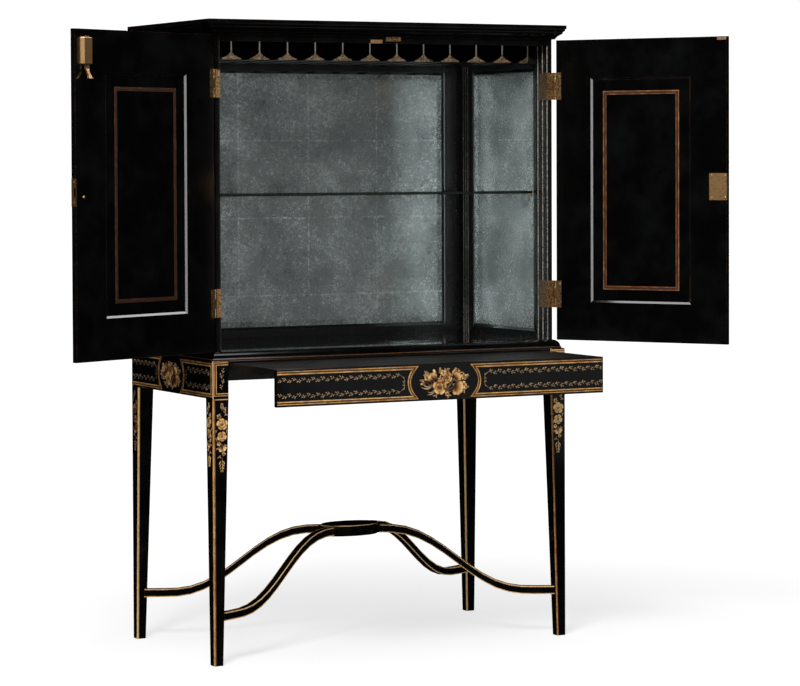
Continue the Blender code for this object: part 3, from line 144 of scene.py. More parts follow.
class CabinetFinishes(bpy.types.PropertyGroup):
    """Colours of the cabinet's finishes."""

    lacquer: colour_property("Lacquer", "Black lacquer under its polish", "030303")
    # The bloom colour also makes the painted sheen on the slide board's top
    bloom: colour_property("Bloom", "Grey bloom on lacquer that has been wiped and handled", "141615")
    rub: colour_property("Rubbed edge", "Red-brown ground where polish has worn an edge", "6A4028")
    gilt_shadow: colour_property("Gilt shadow", "Umber glaze in the hollows of the gold", "301707")
    gilt_deep: colour_property("Gilt deep", "Gold under a russet glaze", "7C481C")
    gilt: colour_property("Gilt", "Bronze powder gold", "BB9055")
    gilt_light: colour_property("Gilt light", "Pale gold laid over the tips of petals", "EAC88F")
    vine: colour_property("Vine gold", "Thin greyish gold of the trailing vines", "9A8060")
    brass: colour_property("Brass", "Worn brass", "C39A6A")
    brass_dark: colour_property("Brass tarnish", "Brown tarnish in the brass", "54402A")
    silver: colour_property("Silver leaf", "Antiqued silver leaf behind the mirror glass", "9CA4A3")
    silver_dark: colour_property("Silver foxing", "Foxed patches in the silver leaf", "5B6363")
    glass: colour_property("Glass tint", "Green of thick float glass", "9CC8B4")
    beech: colour_property("Stained beech", "Runners stained nearly black", "2C1A10")
    steel: colour_property("Bolt steel", "Bare steel of the lock's bolt", "A8A49C")


class CabinetOrnament(bpy.types.PropertyGroup):
    """Sizes of the painted ornament."""

    relief: length_property("Relief", "How far a painted stroke stands off the lacquer", 0.0004)
    band: length_property("Band", "Width of the banded gilt borders", 0.0112)
    band_margin: length_property("Band margin", "Lacquer left outside a border", 0.0042)
    cartouche: length_property("Cartouche", "Half width of the medallion at its middle", 0.1075)
    cartouche_bulge: length_property("Cartouche bulge", "How far the medallion's arcs swell", 0.0185)
    side_cartouche: length_property("Side cartouche", "Half width of a side medallion", 0.0865)
    vine_pitch: length_property("Vine pitch", "Length of one turn of the trailing vine", 0.0285)
    vine_row: length_property("Vine row", "Distance of a vine from the panel's middle line", 0.0205)
    vine_sway: length_property("Vine sway", "How far the vine's stem swings", 0.0017)
    vine_stroke: length_property("Vine stroke", "Width of the vine's stem", 0.0008)
    leg_strip: length_property("Leg strip", "Width of the gilt strip on each leg's arris", 0.0066)
    door_double: length_property("Door double line", "Width of the double line on a door panel", 0.0105)
    door_double_inset: length_property("Double line inset", "Distance from a door panel's edge", 0.0390)
    stretcher_line: length_property(
        "Stretcher line", "Width of the gilt line on a stretcher's arris", 0.0025)


class CabinetFittings(bpy.types.PropertyGroup):
    """Sizes of the small fasteners."""

    hinge_screw: length_property("Hinge screw", "Radius of a hinge screw's head", 0.0030)
    plate_screw: length_property("Plate screw", "Radius of a screw in a lock or strike plate", 0.0026)
    small_screw: length_property("Small screw", "Radius of the smallest screws", 0.0018)
    slot: length_property("Screw slot", "Width of a screw's slot", 0.0007)


class CabinetStage(bpy.types.PropertyGroup):
    """Camera and light."""

    camera_place: bpy.props.FloatVectorProperty(
        name="Camera place", description="Where the camera stands", subtype="TRANSLATION", size=3,
        default=(-3.74919, -7.37784, 1.36558))
    camera_turn: number_property(
        "Camera turn", "Turn of the camera to the right of +Y", math.radians(27.86367), subtype="ANGLE")
    camera_dip: number_property(
        "Camera dip", "How far the camera looks down", math.radians(1.76288), subtype="ANGLE")
    camera_roll: number_property(
        "Camera roll", "Roll of the camera", math.radians(-0.22131), subtype="ANGLE")
    focal_pixels: number_property(
        "Focal length", "Focal length in pixels of the image", 2992.7, subtype="PIXEL")
    shift_pixels: number_property("Shift", "Upward shift of the image's middle", -93.0, subtype="PIXEL")
    floor: colour_property("Floor", "Pale studio floor", "D6D6D6")
    floor_reach: number_property("Floor reach", "Radius of the studio floor", 3.6, min=1.0, unit="LENGTH")
    floor_glow: number_property(
        "Floor glow", "Share of the floor's white that shadows leave untouched", 0.66, min=0.0, max=1.0,
        subtype="FACTOR")
    room: number_property("Room", "Brightness of the white room round the cabinet", 0.20, min=0.0)
    backdrop: number_property(
        "Backdrop", "Brightness of the white backdrop that the lens sees", 1.1, min=0.0)
    key_power: power_property("Key light", "Power of the soft light in front, on the left", 640.0)
    top_power: power_property("Top light", "Power of the soft light overhead", 150.0)
    screen_power: power_property(
        "Screen", "Power of the dim screen in front, on the right, that the mirrors look at", 6.5)
    strip_power: power_property(
        "Strips", "Power of each bright strip that draws highlights along bevels and arrises", 56.0)


def add_node(tree, kind, inputs=None, stops=None, **settings):
    """Add one shader node with its settings, its sockets' values or links, and a ramp's stops."""
    made = tree.nodes.new(f"ShaderNode{kind}")
    for name, value in settings.items():
        setattr(made, name, value)
    for name, value in (inputs or {}).items():
        if isinstance(value, bpy.types.NodeSocket):
            tree.links.new(value, made.inputs[name])
        else:
            made.inputs[name].default_value = value
    if stops:
        elements = made.color_ramp.elements
        while len(elements) < len(stops):
            elements.new(1.0)
        for element, (position, colour) in zip(elements, stops):
            element.position = position
            element.color = (*colour, 1.0)
    return made


def noise(tree, place, size_mm, detail=2.0, roughness=0.5, distortion=0.0):
    """Noise whose features are size_mm across in the frame's space."""
    inputs = {"Vector": place, "Scale": 1000.0 / size_mm, "Detail": detail, "Roughness": roughness,
              "Distortion": distortion}
    return add_node(tree, "TexNoise", inputs).outputs["Fac"]


def remap(tree, value, low=0.0, high=1.0, to_low=0.0, to_high=1.0, **settings):
    """A value's span, low to high, laid over another span."""
    inputs = {"Value": value, "From Min": low, "From Max": high, "To Min": to_low, "To Max": to_high}
    return add_node(tree, "MapRange", inputs, **settings).outputs[0]


def arith(tree, operation, first, second=0.0):
    """One step of arithmetic on two values."""
    return add_node(tree, "Math", {0: first, 1: second}, operation=operation).outputs[0]


def ramp(tree, factor, *stops):
    """A colour picked between stops of (position, colour)."""
    return add_node(tree, "ValToRGB", {"Fac": factor}, stops).outputs["Color"]


def bump(tree, height, strength, distance, **over):
    """A surface normal that leans with a height."""
    inputs = {"Height": height, "Strength": strength, "Distance": distance, **over}
    return add_node(tree, "Bump", inputs).outputs[0]


def stretched(tree, place, scale):
    """A place stretched along some of its axes, for a grain or draw lines."""
    return add_node(tree, "Mapping", {"Vector": place, "Scale": scale}).outputs[0]


def scaled(colour, share):
    """A colour made darker or lighter."""
    return tuple(min(1.0, c * share) for c in colour)


def mix_colours(tree, factor, *colours):
    """Mix two colours, each a socket or its red, green and blue."""
    colours = [c if isinstance(c, bpy.types.NodeSocket) else (*c, 1.0) for c in colours]
    return add_node(tree, "Mix", dict(zip(MIX_SOCKETS, (factor, *colours))), data_type="RGBA").outputs[2]


def new_finish(name):
    """An empty node material, its tree, and the point in the frame's space, which rides with each piece."""
    material = bpy.data.materials.new(name)
    material.use_nodes = True
    tree = material.node_tree
    tree.nodes.clear()
    return material, tree, add_node(tree, "TexCoord").outputs["Object"]


def surface(material, inputs, **volume):
    """Link a principled shader, and a volume if there is one, to the material's output."""
    tree = material.node_tree
    shader = add_node(tree, "BsdfPrincipled", inputs)
    add_node(tree, "OutputMaterial", {"Surface": shader.outputs[0], **volume})
    return material


def polished_lacquer(name, finishes, gloss, rub_strength, bloom_and_sheen_share=0.35, peel_strength=0.04):
    """Shellac-based black lacquer over gesso, rubbed down and polished.

    A deep wet black with a soft orange peel a few millimetres across, a grey bloom where cloths have
    dragged, and a red-brown ground that shows where hands have rubbed the edges. A full
    bloom_and_sheen_share makes the grey a painted sheen.
    """
    material, tree, place = new_finish(name)
    haze = noise(tree, place, 85.0, detail=4.0, roughness=0.6)
    scuff = noise(tree, place, 9.0, detail=5.0, roughness=0.65)
    rounded = add_node(tree, "Bevel", {"Radius": RUBBED_EDGE}, samples=4)
    normal = add_node(tree, "NewGeometry").outputs["Normal"]
    facing = add_node(tree, "VectorMath", {0: rounded.outputs[0], 1: normal}, operation="DOT_PRODUCT")
    edge = remap(tree, facing.outputs["Value"], 0.985, 0.90, 0.0, rub_strength)
    worn = arith(tree, "MULTIPLY", edge, remap(tree, scuff, 0.46, 0.64))
    bloom = [a + (b - a) * bloom_and_sheen_share for a, b in zip(finishes.lacquer, finishes.bloom)]
    tone = ramp(tree, haze, (0.42, finishes.lacquer), (0.85, bloom))
    return surface(material, {
        "Base Color": mix_colours(tree, worn, tone, finishes.rub),
        "Roughness": remap(tree, haze, 0.35, 0.7, gloss, gloss * 1.4),
        "Normal": bump(tree, noise(tree, place, 4.5, detail=1.0), peel_strength, 0.0004),
        "IOR": 1.42, "Coat Weight": 0.15, "Coat Roughness": 0.05, "Coat IOR": 1.5})


def shell_gold(name, *golds):
    """Bronze powder in gold size, brushed on by hand and glazed with umber.

    The shade carried by each stroke runs through the golds, from umber in the hollows to pale gold on
    the raised tips, broken by the brush and worn through here and there.
    """
    material, tree, place = new_finish(name)
    shade = add_node(tree, "Attribute", attribute_name="shade", attribute_type="GEOMETRY").outputs["Fac"]
    brush = noise(tree, place, 2.4, detail=3.0, roughness=0.7)
    varied = arith(tree, "ADD", shade, remap(tree, brush, 0.25, 0.75, -0.16, 0.16))
    patch = remap(tree, noise(tree, place, 14.0, detail=3.0), 0.3, 0.7, -0.08, 0.08)
    total = arith(tree, "ADD", varied, patch)
    return surface(material, {
        "Base Color": ramp(tree, total, *zip(GOLD_STOPS, golds)), "Metallic": 0.35,
        "Roughness": remap(tree, brush, to_low=0.36, to_high=0.58),
        "Normal": bump(tree, brush, 0.25, 0.0002)})


def worn_brass(name, bright, dark, roughness, patch_mm=7.0, spread=0.24, level=0.62):
    """Cast and filed brass, lacquered once and since tarnished.

    Brown bloom in patches, brighter where it is handled, with fine scratches a millimetre apart. A small
    spread makes the patches hard, like the pitting of old hinges.
    """
    material, tree, place = new_finish(name)
    bloom = noise(tree, place, patch_mm, detail=5.0, roughness=0.7)
    total = arith(tree, "ADD", bloom, arith(tree, "MULTIPLY", noise(tree, place, 0.9), 0.35))
    stops = ((level - spread, dark), (level, bright), (level + spread * 1.25, scaled(bright, 1.35)))
    return surface(material, {
        "Base Color": ramp(tree, total, *stops), "Metallic": 1.0,
        "Roughness": remap(tree, total, 0.4, 0.9, roughness + 0.2, roughness),
        "Normal": bump(tree, total, 0.3, 0.0002)})


def edge_distance(tree, place, low, high, axes):
    """How far a point of an upright pane lies inside its nearest edge."""
    split = add_node(tree, "SeparateXYZ", {"Vector": place})
    sides = []
    for axis in axes:
        index = "XYZ".index(axis)
        offset = arith(tree, "SUBTRACT", split.outputs[axis], (low[index] + high[index]) / 2)
        sides.append(arith(tree, "SUBTRACT", (high[index] - low[index]) / 2, arith(tree, "ABSOLUTE", offset)))
    return arith(tree, "MINIMUM", *sides)


def leaf_seams(tree, place):
    """Faint lines where the squares of silver leaf overlap, wandering a little."""
    split = add_node(tree, "SeparateXYZ", {"Vector": place})
    wander = arith(tree, "MULTIPLY", noise(tree, place, 30.0), 0.006)
    seams = []
    for axis, start in LEAF_SEAMS.items():
        offset = arith(tree, "SUBTRACT", split.outputs[axis], start)
        fold = arith(tree, "PINGPONG", arith(tree, "ADD", offset, wander), LEAF_SIZE)
        seams.append(remap(tree, fold, 0.0012, 0.0034, 0.09, 0.0))
    return arith(tree, "MAXIMUM", *seams)


def silvered_glass(name, finishes, node):
    """Plate glass backed with squares of silver leaf, antiqued with acid by hand, with a ground bevel.

    A cloudy grey glass, crumpled and foxed in patches of a few millimetres, part mirror and part matt.
    The overlaps of the leaf show as faint squares the size of a book of leaf, and the bevel round the
    edge is clearer and leans away, so it catches another part of the room; its silver is painted twice
    as bright, a painted highlight.
    """
    material, tree, place = new_finish(name)
    low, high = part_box(node)
    cloud = noise(tree, place, 110.0, detail=4.0, roughness=0.6)
    crumple = noise(tree, place, 7.0, detail=6.0, roughness=0.85, distortion=1.2)
    total = arith(tree, "MULTIPLY", leaf_seams(tree, place), noise(tree, place, 55.0))
    for value, share in ((cloud, 0.38), (crumple, 0.92)):
        total = arith(tree, "ADD", total, arith(tree, "MULTIPLY", value, share))
    silver = ramp(tree, total, (0.46, scaled(finishes.silver_dark, 0.8)), (0.62, finishes.silver),
                  (0.84, scaled(finishes.silver, 2.0)))
    flat = "X" if high.x - low.x > high.y - low.y else "Y"
    inside = edge_distance(tree, place, low, high, (flat, "Z"))
    ground = remap(tree, inside, MIRROR_BEVEL, MIRROR_BEVEL + BEVEL_EDGE, 1.0, 0.0)
    matt = remap(tree, total, 0.45, 0.80, 0.13, 0.32)
    slope = remap(tree, inside, 0.0, MIRROR_BEVEL, 0.0, MIRROR_BEVEL * BEVEL_LEAN)
    return surface(material, {
        # The ground bevel's silver is twice as bright as the rest, a painted highlight
        "Base Color": mix_colours(tree, ground, silver, scaled(finishes.silver, 2.1)),
        "Metallic": remap(tree, ground, to_low=0.72),
        "Roughness": remap(tree, ground, to_low=matt, to_high=0.12),
        "Normal": bump(tree, slope, 1.0, 1.0, Normal=bump(tree, crumple, 0.20, 0.0003)),
        "Coat Weight": 0.3, "Coat Roughness": 0.03})


def lacquer_with_painted_bevel_sheen(name, finishes, share):
    """Satin black lacquer whose bevels and reeds carry pale metallic silver, a painted sheen.

    The sloping faces beside the mirrors draw pale painted highlights that brighten towards the lights,
    with black showing through where the noise breaks the silver.
    """
    material, tree, place = new_finish(name)
    rub = noise(tree, place, 12.0, detail=5.0, roughness=0.7)
    normal = add_node(tree, "NewGeometry").outputs["Normal"]
    size = add_node(tree, "VectorMath", {0: normal}, operation="ABSOLUTE")
    split = add_node(tree, "SeparateXYZ", {"Vector": size.outputs[0]})
    square = arith(tree, "MAXIMUM", split.outputs["X"], split.outputs["Y"])
    square = arith(tree, "MAXIMUM", square, split.outputs["Z"])
    # Pale silver on faces that slope away from the axes, a painted sheen
    leaf = arith(tree, "MULTIPLY", remap(tree, square, 0.94, 0.86, 0.0, share), remap(tree, rub, 0.32, 0.52))
    return surface(material, {
        "Base Color": mix_colours(tree, leaf, finishes.lacquer, scaled(finishes.steel, 1.8)),
        "Metallic": leaf, "Roughness": remap(tree, rub, to_low=0.16, to_high=0.34), "IOR": 1.45})


def rack_finish(name, finishes, node):
    """The stemware rack: satin black lacquer, its sawn ends toned with thin gold and rubbed.

    The ends of the flanges are a speckled tan, the ends of the thin webs above them a paler grey that
    is partly a painted highlight.
    """
    material, tree, place = new_finish(name)
    speckle = noise(tree, place, 3.2, detail=4.0, roughness=0.7)
    tan = ramp(tree, speckle, (0.40, finishes.gilt_shadow), (0.50, finishes.vine),
               (0.62, scaled(finishes.vine, 3.2)))
    height = add_node(tree, "SeparateXYZ", {"Vector": place}).outputs["Z"]
    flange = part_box(node)[0].z + RACK_FLANGE
    blend = remap(tree, height, flange, flange + RACK_BLEND)
    # The webs' paler grey ends stand partly for their highlight, painted
    ends = mix_colours(tree, blend, tan, scaled(finishes.steel, 1.5))
    normal = add_node(tree, "NewGeometry").outputs["Normal"]
    facing = add_node(tree, "SeparateXYZ", {"Vector": normal}).outputs["Y"]
    return surface(material, {
        "Base Color": mix_colours(tree, arith(tree, "LESS_THAN", facing, -0.9), finishes.lacquer, ends),
        "Roughness": remap(tree, speckle, to_low=0.20, to_high=0.42), "IOR": 1.45})


def float_glass(name, tint):
    """Polished float glass, clear through its face and bottle green through its length."""
    material, tree, place = new_finish(name)
    smear = noise(tree, place, 45.0, detail=3.0)
    volume = add_node(tree, "VolumeAbsorption", {"Color": (*tint, 1.0), "Density": 9.0})
    return surface(material, {
        "Base Color": WHITE, "Roughness": remap(tree, smear, to_high=0.03), "IOR": 1.52,
        "Transmission Weight": 1.0}, Volume=volume.outputs[0])


def stained_beech(name, colour):
    """Planed beech, stained nearly black, with short flecks along the grain."""
    material, tree, place = new_finish(name)
    grain = noise(tree, stretched(tree, place, (1.0, 0.12, 1.0)), 2.0, detail=4.0)
    return surface(material, {
        "Base Color": ramp(tree, grain, (0.35, scaled(colour, 0.5)), (0.70, scaled(colour, 1.5))),
        "Roughness": 0.5, "Normal": bump(tree, grain, 0.15, 0.0002)})


def drawn_steel(name, colour):
    """Drawn steel, bare and slightly oiled, with fine draw lines."""
    material, tree, place = new_finish(name)
    lines = noise(tree, stretched(tree, place, (0.1, 0.1, 1.0)), 0.6)
    return surface(material, {
        "Base Color": ramp(tree, lines, (0.3, scaled(colour, 0.7)), (0.7, colour)), "Metallic": 1.0,
        "Roughness": remap(tree, lines, to_low=0.22, to_high=0.38)})


def give(material, *nodes):
    """Put a material on CAD nodes."""
    for name in nodes:
        materials = frame["nodes"][name].data.materials
        materials.clear()
        materials.append(material)


def give_slots(finishes):
    """Put a finish on every CAD node of its slot, and count the nodes."""
    count = 0
    for name, piece in frame["nodes"].items():
        slot = next((m.name.split(".")[0] for m in piece.data.materials if m), None)
        if slot in finishes:
            give(finishes[slot], name)
            count += 1
    return count


class Plane:
    """A flat face with its own two directions, and the way out of it."""

    def __init__(self, origin, right, up, out):
        self.origin, self.right, self.up, self.out = Vector(origin), Vector(right), Vector(up), Vector(out)

    def point(self, spot, height):
        """The point at height over a spot of the face."""
        return self.origin + self.right * spot.x + self.up * spot.y + self.out * height


class Door:
    """A door's own space: X along from the hinge pin, Y inwards, Z up."""

    def __init__(self, side):
        joint = next(j for j in frame["joints"] if j["name"] == f"door_{side}")
        pin = Matrix.Translation((joint["pos_m"][0], joint["pos_m"][1], 0))
        turn = Matrix.Rotation(math.radians(-joint["range_deg"][0]) * joint["axis"][2], 4, "Z")
        flip = Matrix.Diagonal((-SIDES[side], 1, 1, 1))
        self.matrix = pin @ turn @ flip

    def box(self, node):
        """Lowest and highest corner of a CAD node in the door's own space."""
        back = self.matrix.inverted()
        points = [back @ vertex.co for vertex in frame["nodes"][node].data.vertices]
        return tuple(Vector([pick(p[i] for p in points) for i in range(3)]) for pick in (min, max))

    def way(self, x, y):
        """A level direction of the door's own space, in the frame's."""
        return self.matrix.to_3x3() @ Vector((x, y, 0))

    def face(self, inward, out):
        """A plane parallel to the door at a distance inwards, which faces in (1) or out (-1)."""
        return Plane(self.matrix @ Vector((0, inward, 0)), self.way(1, 0), (0, 0, 1), self.way(0, out))


class Relief:
    """Gathers raised strokes of paint into one closed-bodied mesh, with a shade at every corner.

    Base is how high the next stroke lies, and tone is added to every shade.
    """

    def __init__(self, seed=1, tone=0.0):
        self.bm = bmesh.new()
        self.shade = self.bm.verts.layers.float.new("shade")
        self.base = 0.0
        self.tone = tone
        self.draw = random.Random(seed)

    def vertex(self, point, shade):
        """A corner with its shade."""
        made = self.bm.verts.new(point)
        made[self.shade] = min(1.0, max(0.0, shade + self.tone))
        return made

    def raised(self, plane, spot, height, shade):
        """A corner at height over a spot of a face, or sunk into the face where height is nothing."""
        return self.vertex(plane.point(spot, self.base + height if height else -SUNK), shade)

    def loft(self, rows, closed=False):
        """A skin over rows of corners, each row a closed section, joined end to end or capped."""
        if closed:
            rows = rows + rows[:1]
        else:
            self.bm.faces.new(rows[0])
            self.bm.faces.new(rows[-1])
        join_rows(self.bm, rows)

    def strip(self, plane, stations, height, closed=False):
        """A raised stroke through stations of (centre, half width across, (edge, ridge) shades)."""
        self.loft([[self.raised(plane, centre + half * across, height * up,
                                ridge + (edge - ridge) * abs(across)) for across, up in STROKE_SECTION]
                   for centre, half, (edge, ridge) in stations], closed)
        self.base += LAYER

    def line(self, plane, points, width, shade, height):
        """A stroke of even width along a polyline, mitred at its corners."""
        points = [Vector(p) for p in points]
        shades = (shade - 0.12, shade)
        self.strip(plane, [(p, half, shades) for p, half in zip(points, mitres(points, width / 2))], height)

    def ruled(self, plane, points, width, shade, height, closed=False):
        """A line ruled with a loaded brush: its tone and width drift along it."""
        points = brush_steps([Vector(p) for p in points], closed)
        stations = []
        for point, half in zip(points, mitres(points, width / 2, closed)):
            tone = shade + self.draw.uniform(-0.11, 0.09)
            stations.append((point, half * self.draw.uniform(0.90, 1.06), (tone - 0.14, tone)))
        self.strip(plane, stations, height, closed)

    def petal(self, plane, root, tip, width, shades, height):
        """A petal from root to tip, dark at its root and outlined with umber."""
        along = tip - root
        across = left_of(along) * (width / 2)
        glaze = self.draw.uniform(-0.34, 0.10)
        rings = []
        for share, level, lift in PETAL_RINGS:
            ring = []
            for outward, sideways in PETAL_OUTLINE:
                reach = PETAL_HEART + (outward - PETAL_HEART) * share
                spot = root + along * reach + across * (sideways * share)
                shade = shades[0] + (shades[1] - shades[0]) * reach + lift + glaze
                ring.append(self.raised(plane, spot, height * level, shade))
            rings.append(ring)
        self.loft(rings)
        self.base += LAYER

    def leaf(self, plane, root, tip, width, bend, shades, height, steps=5):
        """A leaf or petal from root to tip, bent to its left by bend times its length."""
        along = tip - root
        across = left_of(along)
        stations = []
        for i in range(steps + 1):
            t = i / steps
            centre = root + along * t + across * (bend * along.length * math.sin(math.pi * t))
            girth = math.sin(math.pi * t) ** 0.8 if 0 < i < steps else 0.0
            half = across * (width / 2 * max(girth, LEAF_TIP))
            shade = shades[0] + (shades[1] - shades[0]) * t
            stations.append((centre, half, (shade - 0.10, shade + 0.04)))
        self.strip(plane, stations, height)

    def dome(self, plane, centre, radius, shade, height, sides):
        """A berry, stamen or blob of paint."""
        rings = [[self.raised(plane, centre + Vector(way) * radius * share, height * up, shade + lift)
                  for way in even_turns(sides)] for share, up, lift in DOME_RINGS]
        top = self.raised(plane, centre, height, shade + 0.15)
        self.bm.faces.new(rings[0])
        join_rows(self.bm, rings)
        for i, corner in enumerate(rings[1]):
            self.bm.faces.new((corner, rings[1][(i + 1) % sides], top))

    def arris(self, path, first, second, reach, bevel, thickness, shades):
        """A strip wrapped over an eased arris: path of corner points, directions into both faces."""
        rows = []
        for corner in path:
            drift = self.draw.uniform(-0.10, 0.10)
            foot = [(corner + first * reach[0], second), (corner + first * bevel, second),
                    (corner + second * bevel, first), (corner + second * reach[1], first)]
            section = [spot + inward * SUNK for spot, inward in foot]
            section += [spot - inward * thickness for spot, inward in foot[::-1]]
            marks = (shades[0] + drift, shades[1] + drift, shades[1] - drift, shades[0])
            rows.append([self.vertex(spot, shade) for spot, shade in zip(section, marks + marks)])
        self.loft(rows)

    def finish(self, name, body, gold=RICH_GOLD):
        """Make the strokes into a piece that rides on its body."""
        add_piece(name, self.bm, gold, body)


def join_rows(bm, rows):
    """Faces between rows of vertices of equal length, each row a closed section."""
    for first, second in zip(rows, rows[1:]):
        for i, corner in enumerate(first):
            j = (i + 1) % len(first)
            bm.faces.new((corner, first[j], second[j], second[i]))


def new_object(name, data):
    """A new object in the scene."""
    made = bpy.data.objects.new(name, data)
    bpy.context.scene.collection.objects.link(made)
    return made


def new_mesh(name, bm):
    """A mesh made of a bmesh, which is freed."""
    mesh = bpy.data.meshes.new(name)
    bm.to_mesh(mesh)
    bm.free()
    return mesh


def add_piece(name, bm, finish, body):
    """Make a bmesh into a piece on a CAD body, with its finish."""
    bmesh.ops.recalc_face_normals(bm, faces=bm.faces)
    piece = new_object(name, new_mesh(name, bm))
    piece.data.materials.append(bpy.data.materials[finish])
    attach(piece, body)


def left_of(run):
    """The direction to the left of a run."""
    return Vector((-run.y, run.x)).normalized()


def ray(degrees):
    """A direction on a face, from its right."""
    return Vector((math.cos(math.radians(degrees)), math.sin(math.radians(degrees))))


def even_turns(count, start=0.0):
    """Directions in even steps round a full turn, the first one start steps round."""
    angles = [math.tau * (i + start) / count for i in range(count)]
    return [(math.cos(angle), math.sin(angle)) for angle in angles]


def mitres(points, half, closed=False):
    """Vectors across a polyline at each point, long enough to keep its width round corners."""
    count = len(points)
    result = []
    for i, point in enumerate(points):
        before = points[i - 1] if i or closed else None
        after = points[(i + 1) % count] if i < count - 1 or closed else None
        normals = [left_of(end - start) for start, end in ((before, point), (point, after))
                   if start is not None and end is not None]
        across = sum(normals, Vector((0, 0))).normalized()
        result.append(across * (half / max(SHARPEST_MITRE, across.dot(normals[0]))))
    return result


def offset_line(points, distance, closed=False):
    """A polyline moved to its left by distance."""
    points = [Vector(p) for p in points]
    return [p + h for p, h in zip(points, mitres(points, distance, closed))] if distance else points


def evenly(start, end, count):
    """Points from start to end in even steps."""
    return [start + (end - start) * (i / count) for i in range(count + 1)]


def brush_steps(points, closed):
    """A polyline with more points, a brush's pause apart."""
    result = []
    for start, end in zip(points, points[1:] + points[:1] if closed else points[1:]):
        result += evenly(start, end, max(1, round((end - start).length / BRUSH_STEP)))[:-1]
    return result if closed else result + [points[-1]]


def curve_points(start, end, bulge, steps):
    """Points on a shallow arc from start to end that swells to the left of the run."""
    start, end = Vector(start), Vector(end)
    across = left_of(end - start) * bulge
    return [point + across * (1 - (2 * i / steps - 1) ** 2)
            for i, point in enumerate(evenly(start, end, steps))]


# Petals of a flower seen from the side, back to front: turn off its axis, share of its length, width
FAN_PETALS = ((-44, 0.84, 0.52), (44, 0.86, 0.52), (-22, 0.97, 0.54), (23, 0.95, 0.54), (0, 1.0, 0.50))
# Stripes of a banded border: offset and width as shares of the band, with their shade
BAND_STRIPES = ((0.0, 1.0, 0.06), (0.28, 0.30, 0.66), (-0.02, 0.12, 0.34), (-0.30, 0.25, 0.58))
# Stripes of the doors' line, whose middle is worn down to the umber
DOOR_STRIPES = ((0.38, 0.22, 0.50), (0.0, 0.48, 0.14), (-0.38, 0.22, 0.42))


def banded_border(relief, plane, points, width, height, closed=False, stripes=BAND_STRIPES):
    """A hand-ruled border: two gold stripes with umber lines between and beside them."""
    for offset, share, shade in stripes:
        rise = height if shade > 0.5 else height * 0.6
        relief.ruled(plane, offset_line(points, offset * width, closed), share * width, shade, rise, closed)


class Brushwork:
    """The two golds of one painted face: rich for borders and flowers, thin for stems and leaves."""

    def __init__(self, seed, tone=0.0):
        self.rich, self.thin = Relief(seed, tone), Relief(seed + 1, tone)

    def finish(self, name, body):
        """Make both golds into pieces on a body."""
        self.rich.finish(f"{name}_in_rich_gold", body)
        self.thin.finish(f"{name}_in_thin_gold", body, THIN_GOLD)


def open_flower(brush, plane, centre, radius, turn, height):
    """An open flower: two rounds of broad petals with umber throats about a boss of stamens."""
    for reach, girth, start, shades in ((1.0, 0.96, 0, (-0.15, 1.0)), (0.54, 0.54, 36, (0.0, 1.0))):
        for i, share in enumerate((1.0, 0.93, 0.97, 0.90, 0.95)):
            way = ray(turn + start + 72 * i)
            tip = centre + way * (radius * reach * share)
            brush.rich.petal(plane, centre + way * radius * 0.06, tip, radius * girth, shades, height)
    for i in range(5):
        spot = centre + ray(turn + 72 * i + 20) * radius * 0.17
        brush.rich.dome(plane, spot, radius * 0.065, 0.92, height, sides=5)
    brush.rich.dome(plane, centre, radius * 0.12, 0.12, height, sides=6)


def ring_flower(brush, plane, centre, radius, turn, height):
    """A small flower of five round petals about a dark eye."""
    for i in range(5):
        way = ray(turn + 72 * i) * radius
        brush.rich.petal(plane, centre + way * 0.1, centre + way, radius * 0.90, (0.25, 0.98), height)
    brush.rich.dome(plane, centre, radius * 0.25, 0.12, height, sides=6)
    brush.rich.dome(plane, centre, radius * 0.09, 0.85, height * 1.3, sides=5)


def fan_flower(brush, plane, root, length, turn, height):
    """A half-open flower seen from the side: petals opening from one throat, the middle one foremost."""
    for spread, share, girth in FAN_PETALS:
        tip = root + ray(turn + spread) * length * share
        brush.rich.petal(plane, root, tip, length * girth, (-0.15, 1.06), height)
    for spread in (-28, 28):
        brush.thin.leaf(plane, root - ray(turn) * length * 0.16, root + ray(turn + spread) * length * 0.34,
                        length * 0.13, 0.1, (0.35, 0.6), height)


def bud(brush, plane, root, length, turn, height):
    """A closed bud in its calyx."""
    brush.rich.petal(plane, root, root + ray(turn) * length, length * 0.55, (0.20, 0.95), height)
    for side in (-1, 1):
        brush.thin.leaf(plane, root - ray(turn) * length * 0.2, root + ray(turn + side * 32) * length * 0.6,
                        length * 0.2, side * 0.1, (0.4, 0.7), height)


def leaf_pair(brush, plane, root, length, turn, height):
    """Two curled leaves from one node."""
    for side, share in ((-1, 1.0), (1, 0.82)):
        tip = root + ray(turn + side * 30) * (length * share)
        brush.thin.leaf(plane, root, tip, length * 0.24, -side * 0.15, (0.24, 0.96), height)


def curl(brush, plane, root, length, turn, height):
    """Three long leaves that curl the same way, like blades of grass."""
    for spread, share, bend in ((16, 0.78, 0.20), (0, 1.0, 0.24), (-18, 0.86, 0.30)):
        tip = root + ray(turn + spread) * length * share
        brush.thin.leaf(plane, root, tip, length * 0.12, bend, (0.24, 1.0), height, steps=7)


def sprig(brush, plane, root, length, turn, height):
    """A feathery sprig: a stalk with leaflets that shorten towards its tip."""
    stalk = ray(turn) * length
    brush.rich.leaf(plane, root, root + stalk, length * 0.05, 0.04, (0.5, 0.8), height * 0.8)
    for i in range(1, 5):
        start = root + stalk * (0.06 + 0.19 * i)
        size = length * (0.37 - 0.050 * i)
        for side in (-1, 1):
            tip = start + ray(turn + side * 36) * size
            brush.rich.leaf(plane, start, tip, size * 0.21, side * 0.10, (0.34, 1.0), height, steps=4)


FLOWERS = {"open": open_flower, "ring": ring_flower, "fan": fan_flower, "bud": bud, "pair": leaf_pair,
           "sprig": sprig, "curl": curl}

